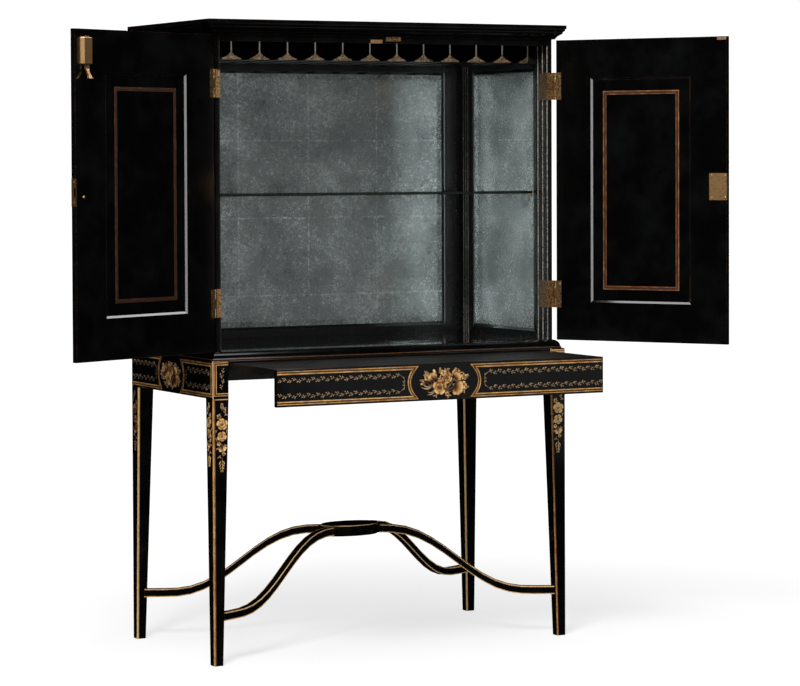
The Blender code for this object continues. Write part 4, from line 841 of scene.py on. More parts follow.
# The bouquet of a medallion, back to front: kind, place across and up, size in millimetres, turn in degrees
BOUQUET = (
    ("sprig", 22, 14, 29, 58), ("sprig", -12, 18, 24, 100), ("sprig", -44, 12, 27, 132),
    ("sprig", 52, 2, 30, 34), ("sprig", 52, -14, 26, -8), ("sprig", -62, 4, 20, 168),
    ("curl", -40, -4, 38, 192), ("curl", -34, -18, 28, 216), ("pair", 2, 24, 20, 74),
    ("pair", 40, 18, 22, 48), ("pair", 56, -18, 18, -40), ("pair", -56, 20, 16, 150),
    ("pair", -26, -32, 15, 236), ("pair", 12, -32, 15, 285), ("pair", 30, 2, 20, 10),
    ("pair", -12, 4, 18, 120), ("bud", 38, 20, 16, 58), ("bud", -32, 23, 15, 110),
    ("bud", -66, -2, 14, 186), ("bud", 8, 27, 13, 88), ("ring", 60, 14, 9.0, 20),
    ("ring", 58, -10, 11.5, 0), ("ring", -58, 14, 9.5, 10), ("ring", 6, -34, 7.0, 0),
    ("ring", -6, 26, 8.5, 40), ("fan", -36, 4, 26, 118), ("fan", 28, -10, 35, -36),
    ("fan", 32, 7, 23, 44), ("open", 6, 11, 18.0, 50), ("open", -18, -14, 24.0, 14),
)
# Tips of its stems, across and up, the foot that gathers them, and their width and how far they swell
STEMS = ((-62, 4), (-58, 14), (-32, 26), (8, 28), (36, 24), (60, 14), (58, -10), (-44, 14), (22, 16))
STEMS_FOOT = (-2, -30)
STEM_WIDTH = 0.0011
STEM_SWELL = 0.004

# The garland on a leg's face, from its top down: kind, place across and down, size, turn
GARLAND = (
    ("sprig", 1, -24, 22, 84), ("pair", 4, -22, 13, 60), ("pair", -3, -30, 12, 235),
    ("pair", 9, -38, 13, 40), ("pair", -12, -74, 12, 215), ("pair", 12, -74, 11, -40),
    ("pair", 8, -112, 13, -60), ("pair", -6, -120, 13, 240), ("sprig", 1, -146, 44, -90),
    ("pair", -4, -142, 12, 255), ("pair", 7, -134, 12, -70), ("pair", -9, -98, 11, 200),
    ("bud", 2, -14, 12, 95), ("ring", -7, -40, 7.0, 0), ("bud", 9, -28, 11, 70),
    ("ring", -8, -112, 6.0, 0), ("ring", 6, -140, 5.0, 10), ("fan", 1, -116, 20, -84),
    ("open", 1, -93, 15.0, 60), ("open", 2, -60, 17.5, 20),
)


def paint_cluster(brush, plane, centre, pieces, scale, height):
    """Paint flowers and leaves about a centre, clear of the leaves under them, their sizes times scale."""
    brush.rich.base = max(brush.rich.base, brush.thin.base + height * 0.4)
    for kind, across, up, size, turn in pieces:
        spot = Vector(centre) + Vector((across, up)) * MILLIMETRE * scale
        FLOWERS[kind](brush, plane, spot, size * MILLIMETRE * scale, turn, height * 0.5)


def paint_bouquet(brush, plane, centre, scale, height):
    """The medallion's bouquet: stems gathered low down, then leaves, buds and flowers over them."""
    foot = Vector(centre) + Vector(STEMS_FOOT) * MILLIMETRE * scale
    for stem in STEMS:
        tip = Vector(centre) + Vector(stem) * MILLIMETRE * scale
        line = curve_points(foot, tip, math.copysign(STEM_SWELL * scale, -stem[0]), 8)
        brush.thin.line(plane, line, STEM_WIDTH * scale, 0.45, height * 0.4)
    paint_cluster(brush, plane, centre, BOUQUET, scale, height)


# Leaves of one turn of the trailing vine: place along it in turns, side, lean in degrees, length, width, bend
VINE_LEAVES = (
    (0.04, 1, 44, 0.35, 0.085, -0.16), (0.34, 1, 30, 0.30, 0.080, 0.16), (0.20, -1, 36, 0.26, 0.068, -0.1),
    (0.54, -1, 46, 0.34, 0.085, -0.16), (0.82, -1, 28, 0.28, 0.080, 0.16), (0.68, 1, 40, 0.24, 0.068, -0.1),
)
# Points between straight steps along one turn of the vine's stem
STEM_STEPS = 6
# Gap between the lacquer's edge and a border that runs off it, and between that edge and a vine's end
OPEN_END = 0.0012
VINE_END = 0.002
# A vine's distance from a medallion's border and from a closed end's, as shares of a border's width
VINE_GAPS = (1.15, 0.9)
# The stem that joins two vines beside a medallion: where it leaves them, and points between, out and up
BEND_REACH = 0.012
BEND = ((0.004, -0.014), (0.001, -0.005), (0.0035, 0.0), (0.001, 0.005), (0.004, 0.014))
# Its small leaves: how far up, and lean in degrees; then their place out, length and width
BEND_LEAVES = ((-0.012, -60), (-0.006, 20), (0.006, -20), (0.012, 60))
BEND_LEAF = (0.002, 0.0065, 0.0026)


def paint_vine(relief, plane, start, end, ornament, flip, seed, fade=0.0):
    """A trailing vine: a thin wavy stem with leaves that rise and fall over each swing."""
    start, end = Vector(start), Vector(end)
    run = end - start
    along = run.normalized()
    across = left_of(run) * flip
    turns = max(1, round(run.length / ornament.vine_pitch))
    pitch = run.length / turns
    draw = random.Random(seed)

    def stem(t):
        return start + along * (pitch * t) + across * (ornament.vine_sway * math.sin(math.tau * t))

    points = [stem(i / STEM_STEPS) for i in range(turns * STEM_STEPS + 1)]
    relief.line(plane, points, ornament.vine_stroke, 0.36 + fade, ornament.relief * 0.5)
    for turn in range(turns):
        for place, side, lean, length, width, bend in VINE_LEAVES:
            root = stem(turn + place + draw.uniform(-0.02, 0.02))
            angle = math.radians(lean + draw.uniform(-8, 8))
            size = pitch * length * draw.uniform(0.86, 1.10)
            way = along * math.cos(angle) + across * (side * math.sin(angle))
            tone = draw.uniform(-0.16, 0.08) + fade
            relief.leaf(plane, root, root + way * size, pitch * width, bend * side * flip,
                        (0.30 + tone, 1.0 + tone), ornament.relief * 0.7)


def join_vines(relief, plane, out, centre, side, ornament, tone):
    """The bent stem and small leaves that join two vines beside a medallion."""
    turned, row = out + side * BEND_REACH, ornament.vine_row
    bend = [(out + side * x, centre + up) for x, up in BEND]
    stem = [(turned, centre - row), *bend, (turned, centre + row)]
    relief.line(plane, stem, ornament.vine_stroke * 1.6, 0.5 + tone, ornament.relief * 0.5)
    place, length, width = BEND_LEAF
    for up, lean in BEND_LEAVES:
        root = Vector((out + side * place, centre + up))
        tip = root + ray(lean) * Vector((side, 1)) * length
        relief.leaf(plane, root, tip, width, 0.1, (0.4 + tone, 0.75 + tone), ornament.relief * 0.7)


def paint_panel(brush, plane, size, half, closed_ends, ornament, scale, seed, tone=0.0):
    """A long painted panel: borders, a medallion with its bouquet, and two vines on each side.

    The medallion in its middle is twice half wide. At a closed end the border turns, at an open one it
    runs off. Scale is the bouquet's, seed the vines' and tone how much lighter they are.
    """
    width, tall = size
    middle, centre = width / 2, tall / 2
    inset = ornament.band_margin + ornament.band / 2
    bulge = ornament.cartouche_bulge * half / ornament.cartouche
    for side, end, closed in ((-1, 0.0, closed_ends[0]), (1, width, closed_ends[1])):
        flank = middle + side * (half - bulge)
        arc = curve_points((flank, inset), (flank, tall - inset), -side * bulge, 16)
        stop = end - side * (inset if closed else OPEN_END)
        points = [(stop, inset), *arc, (stop, tall - inset)][::-side]
        banded_border(brush.rich, plane, points, ornament.band, ornament.relief, closed)
        row_start = middle + side * (half + ornament.band * VINE_GAPS[0])
        row_end = stop - side * (ornament.band * VINE_GAPS[1] if closed else VINE_END)
        for up in (-1, 1):
            row = centre + up * ornament.vine_row
            paint_vine(brush.thin, plane, (row_start + side * BEND_REACH, row), (row_end, row), ornament,
                       up * side, seed + up, tone)
        join_vines(brush.thin, plane, row_start, centre, side, ornament, tone)
    paint_bouquet(brush, plane, (middle, centre - MILLIMETRE), scale, ornament.relief)


class CABINET_OT_lacquer(bpy.types.Operator):
    """Lacquer the stand, the carcass and the doors in black"""

    bl_idname = "cabinet.lacquer"
    bl_label = "Lacquer"

    def execute(self, context):
        finishes = context.scene.cabinet_finishes
        outside = polished_lacquer("polished_black_lacquer", finishes, 0.10, 0.45)
        runners = stained_beech("stained_beech", finishes.beech)
        if not give_slots({"black_lacquer": outside, "interior_lacquer": outside, "stained_beech": runners}):
            raise RuntimeError("the frame has no lacquer slots")
        # The mirror frame, side linings and top panel get pale silver on their sloping faces, a painted sheen
        give(lacquer_with_painted_bevel_sheen("black_lacquer_with_painted_bevel_sheen", finishes, 0.9),
             "back_mirror_frame", "side_lining_left", "side_lining_right", "top_panel")
        give(polished_lacquer("mirror_polished_lacquer", finishes, 0.03, 0.25, peel_strength=0.0),
             "carcass_floor")
        # The slide board takes the grey bloom in full, a painted sheen of the overhead light on its satin top
        give(polished_lacquer("black_lacquer_with_painted_sheen", finishes, 0.36, 0.45, bloom_and_sheen_share=1.0), "slide_board")
        give(rack_finish("lacquered_rack", finishes, "stemware_rack"), "stemware_rack")
        return {"FINISHED"}


class CABINET_OT_mirrors(bpy.types.Operator):
    """Silver the back mirror and both side mirrors, and glaze the shelf"""

    bl_idname = "cabinet.mirrors"
    bl_label = "Mirrors and glass"

    def execute(self, context):
        finishes = context.scene.cabinet_finishes
        for node in ("back_mirror", "side_mirror_left", "side_mirror_right"):
            give(silvered_glass(f"antiqued_glass_of_{node}", finishes, node), node)
        give(float_glass("float_glass", finishes.glass), "glass_shelf")
        return {"FINISHED"}


class CABINET_OT_brasswork(bpy.types.Operator):
    """Give the hinges, pulls, lock and bolts their worn brass and steel"""

    bl_idname = "cabinet.brasswork"
    bl_label = "Brasswork"

    def execute(self, context):
        finishes = context.scene.cabinet_finishes
        brass = worn_brass("worn_brass", finishes.brass, finishes.brass_dark, 0.30)
        if not give_slots({"aged_brass": brass, "bolt_steel": drawn_steel("drawn_steel", finishes.steel)}):
            raise RuntimeError("the frame has no brass slots")
        # Darker brass with harder patches, for the hinges and the ball catch
        darker_brass_finish = worn_brass("darker_brass", scaled(finishes.brass, 0.72), scaled(finishes.brass_dark, 0.35),
                            0.34, patch_mm=4.5, spread=0.12, level=0.70)
        give(darker_brass_finish, "ball_catch", *(name for name in frame["nodes"] if name.startswith("hinge")))
        return {"FINISHED"}


class CABINET_OT_gilding(bpy.types.Operator):
    """Mix the golds that the painted ornament shares"""

    bl_idname = "cabinet.gilding"
    bl_label = "Golds"

    def execute(self, context):
        finishes = context.scene.cabinet_finishes
        umber, vine = finishes.gilt_shadow, finishes.vine
        shell_gold(RICH_GOLD, umber, finishes.gilt_deep, finishes.gilt, finishes.gilt_light)
        shell_gold(THIN_GOLD, umber, scaled(vine, 0.4), vine, scaled(vine, 1.5))
        return {"FINISHED"}


class CABINET_OT_slide_ornament(bpy.types.Operator):
    """Paint the front of the serving slide"""

    bl_idname = "cabinet.slide_ornament"
    bl_label = "Slide ornament"

    def execute(self, context):
        ornament = context.scene.cabinet_ornament
        low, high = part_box("slide_front")
        size = (high.x - low.x, high.z - low.z)
        brush = Brushwork(3)
        paint_panel(brush, Plane(low, *FRONT), size, ornament.cartouche, (False, False), ornament, 0.95, 11)
        brush.finish("slide_painted_front", "slide")
        return {"FINISHED"}


class CABINET_OT_apron_ornament(bpy.types.Operator):
    """Paint both sides of the stand, over the aprons and the leg blocks"""

    bl_idname = "cabinet.apron_ornament"
    bl_label = "Apron ornament"

    def execute(self, context):
        ornament = context.scene.cabinet_ornament
        for side, out in SIDES.items():
            low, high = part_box(f"apron_{side}")
            front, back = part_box(f"leg_front_{side}")[0].y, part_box(f"leg_back_{side}")[1].y
            corner = (low.x if out < 0 else high.x, back, low.z)
            plane = Plane(corner, (0, -1, 0), (0, 0, 1), (out, 0, 0))
            size = (back - front, high.z - low.z)
            brush = Brushwork(7, -0.08)
            paint_panel(brush, plane, size, ornament.side_cartouche, (False, True), ornament, 0.86, 23, -0.20)
            brush.finish(f"apron_{side}_painted_side", "cabinet")
        return {"FINISHED"}


# Each leg's paint: share of the full strip's width, the strip's shade, the garland's tone. The shades and
# tones are partly painted light and shade, set leg by leg for how the light falls on it.
LEG_PAINT_AND_LIGHT = {"leg_front_left": (0.95, 0.54, -0.04), "leg_front_right": (0.74, 0.46, 0.24),
             "leg_back_left": (0.78, 0.80, -0.32), "leg_back_right": (0.74, 0.88, -0.16)}
# Height over the floor up to which a leg's corners belong to its foot
FOOT_REACH = 0.004
# The gilt arris: how far its strip runs out before the wood turns, the step between its worn patches, its
# share of width on the side, how much darker its edges are, and its gaps under the block and over the floor
ARRIS_EASE = 0.0016
ARRIS_STEP = 0.030
ARRIS_SIDE = 0.55
ARRIS_EDGE = 0.40
ARRIS_GAPS = (0.002, 0.001)
# The block's pale arris line, a painted highlight: reach into its front and its side, and number of steps
BLOCK_ARRIS_HIGHLIGHT = (0.0022, 0.0019)
BLOCK_HIGHLIGHT_STEPS = 9
# The collar under the block: width, how far down it lies, and how far in from the corners it ends
COLLAR = (0.0034, 0.0015, 0.002)
# The border on the block: width, distance in from the edges, and how much more than that at the foot
BLOCK_BAND = (0.0100, 0.0075, 0.004)
# The vine on the block: distance across from its middle, up from its foot and down from its head
BLOCK_VINE = (0.004, 0.024, 0.020)
# How far below the block the garlands start, and how far inwards the front ones stand
GARLAND_DROP = 0.008
GARLAND_SHIFT = 0.0012


class CABINET_OT_leg_ornament(bpy.types.Operator):
    """Paint the leg blocks, the garlands and the gilt arrises of all four legs"""

    bl_idname = "cabinet.leg_ornament"
    bl_label = "Leg ornament"

    def execute(self, context):
        ornament = context.scene.cabinet_ornament
        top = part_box("apron_left")[0].z
        for name, paint in LEG_PAINT_AND_LIGHT.items():
            paint_leg(name, top, ornament, *paint)
        return {"FINISHED"}


def leg_arris(name, top):
    """Ends of a leg's gilt arris, the one nearest to the lens, from its taper's top down to its foot."""
    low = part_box(name)[0]
    foot = [v.co for v in frame["nodes"][name].data.vertices if v.co.z < low.z + FOOT_REACH]
    x, y = (min(corner[axis] for corner in foot) for axis in (0, 1))
    return Vector((low.x, low.y, top - ARRIS_GAPS[0])), Vector((x, y, low.z + ARRIS_GAPS[1]))


def paint_leg(name, top, ornament, share, strip_shade, tone):
    """A gilt arris and garlands on the outer faces of one leg, and a front leg's collar and block."""
    low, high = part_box(name)
    middle = (low + high) / 2
    out = SIDES[name.split("_")[-1]]
    # tone lightens or darkens this leg's paint as painted light and shade
    brush = Brushwork(11, tone)
    start, end = leg_arris(name, top)
    path = evenly(start, end, round((start - end).length / ARRIS_STEP))
    strip = ornament.leg_strip * share
    brush.rich.arris(path, X_WAY, Y_WAY, (strip, strip * ARRIS_SIDE), ARRIS_EASE, ornament.relief,
                     (strip_shade - tone - ARRIS_EDGE, strip_shade - tone))
    if "front" in name:
        face = Plane((middle.x, low.y, 0), *FRONT)
        paint_block(brush, face, low, high, top, ornament)
        place = (out * -GARLAND_SHIFT, top - GARLAND_DROP)
        paint_cluster(brush, face, place, GARLAND, 1.0, ornament.relief)
    face = Plane((low.x if out < 0 else high.x, middle.y, 0), (0, 1, 0), (0, 0, 1), (out, 0, 0))
    paint_cluster(brush, face, (0.0, top - GARLAND_DROP), GARLAND, 0.92, ornament.relief)
    brush.finish(f"{name}_painted", "cabinet")


def paint_block(brush, face, low, high, top, ornament):
    """The collar under a front leg's block, and the block's painted arris highlight, border and vine."""
    half = (high.x - low.x) / 2
    width, drop, gap = COLLAR
    collar = [(gap - half, top - drop), (half - gap, top - drop)]
    brush.rich.ruled(face, collar, width, 0.62, ornament.relief)
    # A pale line up the block's arris, a painted highlight of the lacquer's edge
    arris = evenly(Vector((low.x, low.y, top)), Vector((low.x, low.y, high.z)), BLOCK_HIGHLIGHT_STEPS)
    brush.thin.arris(arris, X_WAY, Y_WAY, BLOCK_ARRIS_HIGHLIGHT, ARRIS_EASE, ornament.relief * 0.5, (0.5, 1.0))
    width, inset, lift = BLOCK_BAND
    left, right, foot, head = inset - half, half - MILLIMETRE, top + inset + lift, high.z - inset
    banded_border(brush.rich, face, [(right, head), (left, head), (left, foot), (right, foot)], width,
                  ornament.relief)
    across, up, down = BLOCK_VINE
    paint_vine(brush.thin, face, (across, top + up), (across, high.z - down), ornament, 1, 5)


# Sides of the oval block, as the solid has them, and the lip over its gilt rim
OVAL_SIDES = 28
OVAL_LIP = 0.0018
# A stretcher's outline: depth of its arris, half of its crossing, and the span over which it is nearly level
ARRIS_DEPTH = 0.0005
CROSSING = 0.04
LEVEL_SPAN = 0.012
# Least distance of an outline's points from the bar's middle line, and from each other
HALF_BAR = 0.004
LEAST_STEP = 0.002
# Share of a stretcher line's width that reaches over the bar's level face
FACE_SHARE = 0.6


class CABINET_OT_stretcher_lines(bpy.types.Operator):
    """Gild the arrises of the stretchers and the rim of the oval block on their crossing"""

    bl_idname = "cabinet.stretcher_lines"
    bl_label = "Stretcher lines"

    def execute(self, context):
        ornament = context.scene.cabinet_ornament
        # stretcher_b's lines are darker than stretcher_a's, a painted shade; their pale gold is partly a
        # painted highlight
        for name, tone in (("stretcher_a", 0.06), ("stretcher_b", -0.06)):
            gild_stretcher(name, tone, ornament)
        gild_rim("stretcher_platform", ornament)
        return {"FINISHED"}


def stretcher_arrises(name):
    """The long edges of a stretcher outside its crossing, each with the ways into its two faces."""
    mesh = frame["nodes"][name].data
    upright = [face for face in mesh.polygons if abs(face.normal.z) < 0.01]
    across = max(upright, key=lambda face: face.area).normal.copy()
    along = Vector((across.y, -across.x, 0))
    middle = sum(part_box(name), Vector()) / 2
    rows = []
    for vertex in mesh.vertices:
        offset = vertex.co - middle
        rows.append((offset.dot(along), offset.dot(across), vertex.co.copy()))
    rows.sort(key=lambda row: row[0])
    reach = max(abs(out) for _, out, _ in rows)
    for side in (-1, 1):
        for arm in (-1, 1):
            near = [(run, point) for run, out, point in rows
                    if out * side > reach - ARRIS_DEPTH and run * arm > CROSSING]
            for level in (-1, 1):
                yield outline_points(near, level), across * -side, Vector((0, 0, -level))


def outline_points(rows, level):
    """The upper or lower outline of rows of (distance along, point)."""
    line = []
    for distance, point in rows:
        near = [other.z for place, other in rows if abs(place - distance) < LEVEL_SPAN]
        middle = (min(near) + max(near)) / 2
        if (point.z - middle) * level > HALF_BAR and (not line or (point - line[-1]).length > LEAST_STEP):
            line.append(point)
    return line


def gild_stretcher(name, tone, ornament):
    """A gilt line over each long arris of one stretcher."""
    relief = Relief(3, tone)
    width = ornament.stretcher_line
    for line, inward, up in stretcher_arrises(name):
        if len(line) < 2:
            raise RuntimeError(f"{name} has no arris to gild")
        relief.arris(line, inward, up, (width * FACE_SHARE, width), 0.0, ornament.relief, (0.50, 0.94))
    relief.finish(f"{name}_gilt_lines", "cabinet")


def gild_rim(name, ornament):
    """A gilt line round the upper edge of the oval block, under its lip."""
    low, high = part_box(name)
    middle, half = (low + high) / 2, (high - low) / 2
    width = Vector((0, 0, ornament.stretcher_line))
    relief = Relief(9, -0.04)
    rows = []
    for x, y in even_turns(OVAL_SIDES):
        spot = Vector((middle.x + half.x * x, middle.y + half.y * y, high.z - OVAL_LIP)) - width
        out = Vector((x / half.x, y / half.y, 0)).normalized()
        shade = 0.80 + relief.draw.uniform(-0.16, 0.12)
        sunk, raised = spot - out * SUNK, spot + out * ornament.relief
        rows.append([relief.vertex(point, shade) for point in (sunk, raised, raised + width, sunk + width)])
    relief.loft(rows, closed=True)
    relief.finish(f"{name}_gilt_rim", "cabinet")


class CABINET_OT_door_lines(bpy.types.Operator):
    """Rule the gilt lines on both faces of both doors"""

    bl_idname = "cabinet.door_lines"
    bl_label = "Door lines"

    def execute(self, context):
        ornament = context.scene.cabinet_ornament
        inset = ornament.door_double_inset + ornament.door_double / 2
        # The left door's gold is darker than the right's, a painted shade for the light its face turns from
        for side, tone in (("left", -0.38), ("right", -0.10)):
            door = Door(side)
            low, high = door.box(f"door_panel_{side}")
            x0, z0, x1, z1 = low.x + inset, low.z + inset, high.x - inset, high.z - inset
            line = [(x0, z0), (x0, z1), (x1, z1), (x1, z0)]
            relief = Relief(5, tone)
            for face in (door.face(high.y, 1), door.face(low.y, -1)):
                banded_border(relief, face, line, ornament.door_double, ornament.relief, True, DOOR_STRIPES)
            relief.finish(f"door_{side}_gilt_lines", f"door_{side}")
        return {"FINISHED"}


# Height of the waist moulding's lower fillet, and how far the rubbed line reaches over and down from its edge
MOULDING_FILLET = 0.0037
MOULDING_RUB = (0.0010, 0.0016)
MOULDING_RELIEF = 0.0002


class CABINET_OT_moulding_lines(bpy.types.Operator):
    """Rub the red ground along the edges of the waist moulding"""

    bl_idname = "cabinet.moulding_lines"
    bl_label = "Moulding lines"

    def execute(self, context):
        low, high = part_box("waist_moulding")
        back, level = high.y - MILLIMETRE, low.z + MOULDING_FILLET
        corners = [Vector((x, y, level)) for x, y in
                   ((low.x, back), (low.x, low.y), (high.x, low.y), (high.x, back))]
        relief = Relief()
        for start, end, inward in zip(corners, corners[1:], (X_WAY, Y_WAY, -X_WAY)):
            relief.arris([start, end], inward, Vector((0, 0, -1)), MOULDING_RUB, 0.0, MOULDING_RELIEF,
                         (0.10, 0.20))
        relief.finish("waist_moulding_rubbed_line", "cabinet")
        return {"FINISHED"}


# Sides of a screw's head, and its rings from its sunk foot up: share of its radius, level as such a share
SCREW_SIDES = 20
SCREW_RINGS = ((1.0, -0.1), (1.0, 0.06), (0.8, 0.176))
# Level of its slot's lips
SCREW_CROWN = 0.22
# Screws of a hinge: share of the leaf's height, and distance in from its edge
CARCASS_LEAF_SCREWS = ((0.16, 0.012), (0.5, 0.022), (0.84, 0.012))
DOOR_LEAF_SCREWS = ((0.14, 0.0055), (0.86, 0.0055))
# How far in from a plate's sides its screws stand, across and up; nothing means in its middle
PLATE_INSETS = {"lock_case": (0.006, 0.007), "catch_strike": (0.0035, 0), "strike_plate": (0, 0.009),
                "bolt_keeper": (0.005, 0), "ball_catch": (0.006, 0)}
# How much further round each screw of a piece was driven than the one before it
NEXT_TURN = 1.1


def screw(bm, place, axis, radius, slot_width, turn):
    """A slotted screw head, slightly domed, seated on place and facing along axis."""
    axis = axis.normalized()
    right = Matrix.Rotation(turn, 3, axis) @ axis.orthogonal().normalized()
    up = axis.cross(right)

    def corner(across, along, level):
        return bm.verts.new(place + (right * across + up * along + axis * level) * radius)

    rings = [[corner(x * share, y * share, level) for x, y in even_turns(SCREW_SIDES, 0.5)]
             for share, level in SCREW_RINGS]
    join_rows(bm, rings)
    half, top = SCREW_SIDES // 2, rings[-1]
    length, width = SCREW_RINGS[-1][0] * math.cos(math.pi / SCREW_SIDES), slot_width / 2 / radius
    (low_lip, low_floor), (high_lip, high_floor) = (
        [[corner(end * length, side * width, level) for end in (-1, 1)] for level in (SCREW_CROWN, 0.0)]
        for side in (-1, 1))
    for face in (rings[0],
                 (*low_lip, *low_floor[::-1]), (low_lip[0], *top[half:], low_lip[1]),
                 (*high_lip, *high_floor[::-1]), (high_lip[1], *top[:half], high_lip[0]),
                 (*low_floor, *high_floor[::-1]),
                 (top[0], high_lip[1], high_floor[1], low_floor[1], low_lip[1], top[-1]),
                 (top[half - 1], high_lip[0], high_floor[0], low_floor[0], low_lip[0], top[half])):
        bm.faces.new(face)


def screw_piece(name, body, brass, first_turn, fittings, spots):
    """One piece of like screws: spots of (place, axis, radius)."""
    bm = bmesh.new()
    for number, (place, axis, radius) in enumerate(spots):
        screw(bm, place, axis, radius, fittings.slot, first_turn + number * NEXT_TURN)
    add_piece(name, bm, brass, body)


def plate_spots(node, low, high, y):
    """Places of a plate's screws at y."""
    across, up = PLATE_INSETS[node]
    xs = (low.x + across, high.x - across) if across else ((low.x + high.x) / 2,)
    zs = (low.z + up, high.z - up) if up else ((low.z + high.z) / 2,)
    return [Vector((x, y, z)) for x in xs for z in zs]


def door_screws(door, places, way, radius):
    """Screws in a door's own space, as spots in the frame's."""
    return [(door.matrix @ place, door.way(*way), radius) for place in places]


class CABINET_OT_screws(bpy.types.Operator):
    """Drive the screws of the hinges, the lock, the plates, the bolt and the keepers"""

    bl_idname = "cabinet.screws"
    bl_label = "Screws"

    def execute(self, context):
        fittings = context.scene.cabinet_fittings
        doors = {side: Door(side) for side in SIDES}
        for side, door in doors.items():
            carcass_spots, door_spots = [], []
            for end in ("lower", "upper"):
                low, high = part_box(f"hinge_{end}_{side}_carcass_leaf")
                x, tall = high.x if side == "left" else low.x, high.z - low.z
                carcass_spots += [(Vector((x, high.y - depth, low.z + tall * share)), X_WAY * -SIDES[side],
                                   fittings.hinge_screw) for share, depth in CARCASS_LEAF_SCREWS]
                low, high = door.box(f"hinge_{end}_{side}_door_leaf")
                places = [Vector((high.x - inset, high.y, low.z + (high.z - low.z) * share))
                          for share, inset in DOOR_LEAF_SCREWS]
                door_spots += door_screws(door, places, (0, 1), fittings.hinge_screw)
            name = f"hinge_screws_{side}"
            screw_piece(f"{name}_carcass", "cabinet", "darker_brass", 0.4, fittings, carcass_spots)
            screw_piece(f"{name}_door", f"door_{side}", "darker_brass", 0.9, fittings, door_spots)
        spots = []
        for node, radius in (("lock_case", fittings.plate_screw), ("catch_strike", fittings.small_screw)):
            low, high = doors["right"].box(node)
            spots += door_screws(doors["right"], plate_spots(node, low, high, high.y), (0, 1), radius)
        screw_piece("lock_screws", "door_right", "worn_brass", 0.2, fittings, spots)
        low, high = doors["left"].box("strike_plate")
        places = [Vector((high.x, place.y, place.z))
                  for place in plate_spots("strike_plate", low, high, (low.y + high.y) / 2)]
        spots = door_screws(doors["left"], places, (1, 0), fittings.plate_screw)
        screw_piece("strike_screws", "door_left", "worn_brass", 0.7, fittings, spots)
        places = [place for node, seat in (("bolt_keeper", "bolt_keeper"), ("ball_catch", "top_rail"))
                  for place in plate_spots(node, *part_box(node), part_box(seat)[0].y)]
        spots = [(place, -Y_WAY, fittings.small_screw) for place in places]
        screw_piece("rail_screws", "cabinet", "worn_brass", 0.5, fittings, spots)
        return {"FINISHED"}


class CABINET_OT_stage(bpy.types.Operator):
    """Set up the pale floor, the soft lights and the camera"""

    bl_idname = "cabinet.stage"
    bl_label = "Stage"

    def execute(self, context):
        stage = context.scene.cabinet_stage
        lay_floor(stage)
        hang_lights(stage)
        light_world(stage)
        place_camera(stage)
        return {"FINISHED"}


def lay_floor(stage):
    """A round pale floor, matt, that brightens into the white backdrop and isn't mirrored in the polish."""
    material, tree, place = new_finish("matt_pale_studio_floor")
    tone = ramp(tree, noise(tree, place, 900.0), (0.3, scaled(stage.floor, 0.985)), (0.7, stage.floor))
    inputs = {"Base Color": tone, "Roughness": 0.9, "Specular IOR Level": 0.0}
    matt = add_node(tree, "BsdfPrincipled", inputs)
    away = add_node(tree, "VectorMath", {0: place}, operation="LENGTH").outputs["Value"]
    fade = remap(tree, away, FADE_START, stage.floor_reach * FADE_END, stage.floor_glow,
                 interpolation_type="SMOOTHSTEP")
    white = add_node(tree, "Emission", {"Color": WHITE, "Strength": stage.backdrop})
    mixed = add_node(tree, "MixShader", {"Fac": fade, 1: matt.outputs[0], 2: white.outputs[0]})
    add_node(tree, "OutputMaterial", {"Surface": mixed.outputs[0]})
    bm = bmesh.new()
    bmesh.ops.create_circle(bm, cap_ends=True, segments=96, radius=stage.floor_reach)
    floor = new_object("studio_floor", new_mesh("studio_floor", bm))
    floor.data.materials.append(material)
    floor.visible_glossy = False


def hang_lights(stage):
    """A key and a top light, and dim screens placed where the polish and the mirrors look."""
    strip = stage.strip_power
    # Name, place, aim, width and height, power, and whether it lights matt surfaces too
    lights = (
        ("key_light", (-3.4, -3.7, 5.3), (0.1, 0.2, 1.1), (2.0, 2.0), stage.key_power, True),
        ("top_light", (0.0, -0.6, 5.2), (0.0, 0.2, 0.0), (3.6, 3.6), stage.top_power, True),
        ("front_screen", (4.7, -5.9, 0.8), (0.3, 0.2, 1.1), (4.4, 2.0), stage.screen_power, False),
        ("front_left_strip", (-1.76, -6.25, 1.4), (0.6, -0.2, 1.3), (0.9, 2.0), strip, False),
        ("front_strip", (0.56, -6.4, 1.4), (-0.5, -0.1, 1.3), (0.9, 2.0), strip, False),
        ("upper_left_strip", (-2.4, 0.75, 4.9), (0.7, -0.3, 1.0), (1.4, 1.4), strip, False),
        ("upper_right_strip", (3.5, 0.15, 3.7), (-0.7, -0.1, 1.0), (1.3, 1.3), strip * 0.8, False),
    )
    for name, place, aim, size, power, lit in lights:
        lamp = bpy.data.lights.new(name, "AREA")
        lamp.shape = "RECTANGLE"
        lamp.size, lamp.size_y = size
        lamp.energy = power
        holder = new_object(name, lamp)
        holder.location = place
        holder.rotation_euler = (Vector(aim) - Vector(place)).to_track_quat("-Z", "Y").to_euler()
        holder.visible_camera = False
        holder.visible_diffuse = lit


def light_world(stage):
    """A white room all round, which lights the cabinet but isn't mirrored in its polish."""
    world = bpy.data.worlds.new("studio")
    bpy.context.scene.world = world
    world.use_nodes = True
    world.cycles_visibility.glossy = False
    tree = world.node_tree
    tree.nodes.clear()
    seen = add_node(tree, "LightPath").outputs["Is Camera Ray"]
    strength = remap(tree, seen, to_low=stage.room, to_high=stage.backdrop)
    white = add_node(tree, "Background", {"Color": WHITE, "Strength": strength})
    add_node(tree, "OutputWorld", {"Surface": white.outputs[0]})


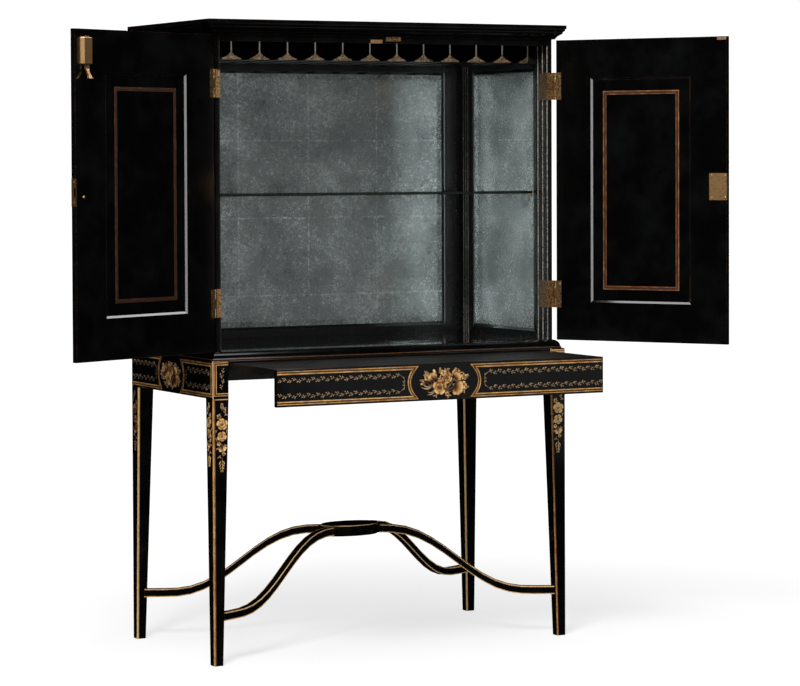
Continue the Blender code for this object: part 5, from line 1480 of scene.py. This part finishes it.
def place_camera(stage):
    """The camera at the photograph's viewpoint."""
    camera = bpy.data.cameras.new("camera")
    camera.sensor_width = SENSOR_WIDTH
    camera.lens = stage.focal_pixels * SENSOR_WIDTH / IMAGE_WIDTH
    camera.shift_y = stage.shift_pixels / IMAGE_WIDTH
    camera.clip_end = 200.0
    holder = new_object("camera", camera)
    turn = Matrix.Rotation(-stage.camera_turn, 4, "Z")
    dip = Matrix.Rotation(math.pi / 2 - stage.camera_dip, 4, "X")
    roll = Matrix.Rotation(stage.camera_roll, 4, "Z")
    holder.matrix_world = Matrix.Translation(stage.camera_place) @ turn @ dip @ roll
    bpy.context.scene.camera = holder
    bpy.context.scene.view_settings.view_transform = "Standard"


class CABINET_PT_panel(bpy.types.Panel):
    """The cabinet's finishes, ornament and stage"""

    bl_label = "Drinks cabinet"
    bl_idname = "CABINET_PT_panel"
    bl_space_type = "VIEW_3D"
    bl_region_type = "UI"
    bl_category = "Cabinet"

    def draw(self, context):
        layout = self.layout
        for group in SETTINGS:
            box = layout.box()
            owner = getattr(context.scene, group)
            for name in owner.__annotations__:
                box.prop(owner, name)
        for operator in OPERATORS:
            layout.operator(operator.bl_idname)


SETTINGS = {"cabinet_finishes": CabinetFinishes, "cabinet_ornament": CabinetOrnament,
            "cabinet_fittings": CabinetFittings, "cabinet_stage": CabinetStage}
OPERATORS = (
    CABINET_OT_stage, CABINET_OT_lacquer, CABINET_OT_mirrors, CABINET_OT_brasswork, CABINET_OT_gilding,
    CABINET_OT_slide_ornament, CABINET_OT_apron_ornament, CABINET_OT_leg_ornament,
    CABINET_OT_stretcher_lines, CABINET_OT_door_lines, CABINET_OT_moulding_lines, CABINET_OT_screws,
)


def register():
    """Register the settings, operators and panel."""
    for name, group in SETTINGS.items():
        bpy.utils.register_class(group)
        setattr(bpy.types.Scene, name, bpy.props.PointerProperty(type=group))
    for operator in OPERATORS:
        bpy.utils.register_class(operator)
    bpy.utils.register_class(CABINET_PT_panel)


def unregister():
    """Undo register."""
    bpy.utils.unregister_class(CABINET_PT_panel)
    for operator in reversed(OPERATORS):
        bpy.utils.unregister_class(operator)
    for name, group in SETTINGS.items():
        delattr(bpy.types.Scene, name)
        bpy.utils.unregister_class(group)


def main():
    """Build everything in order."""
    register()
    for operator in OPERATORS:
        area, name = operator.bl_idname.split(".")
        getattr(getattr(bpy.ops, area), name)()
    bpy.context.view_layer.update()


if __name__ == "__main__":
    main()
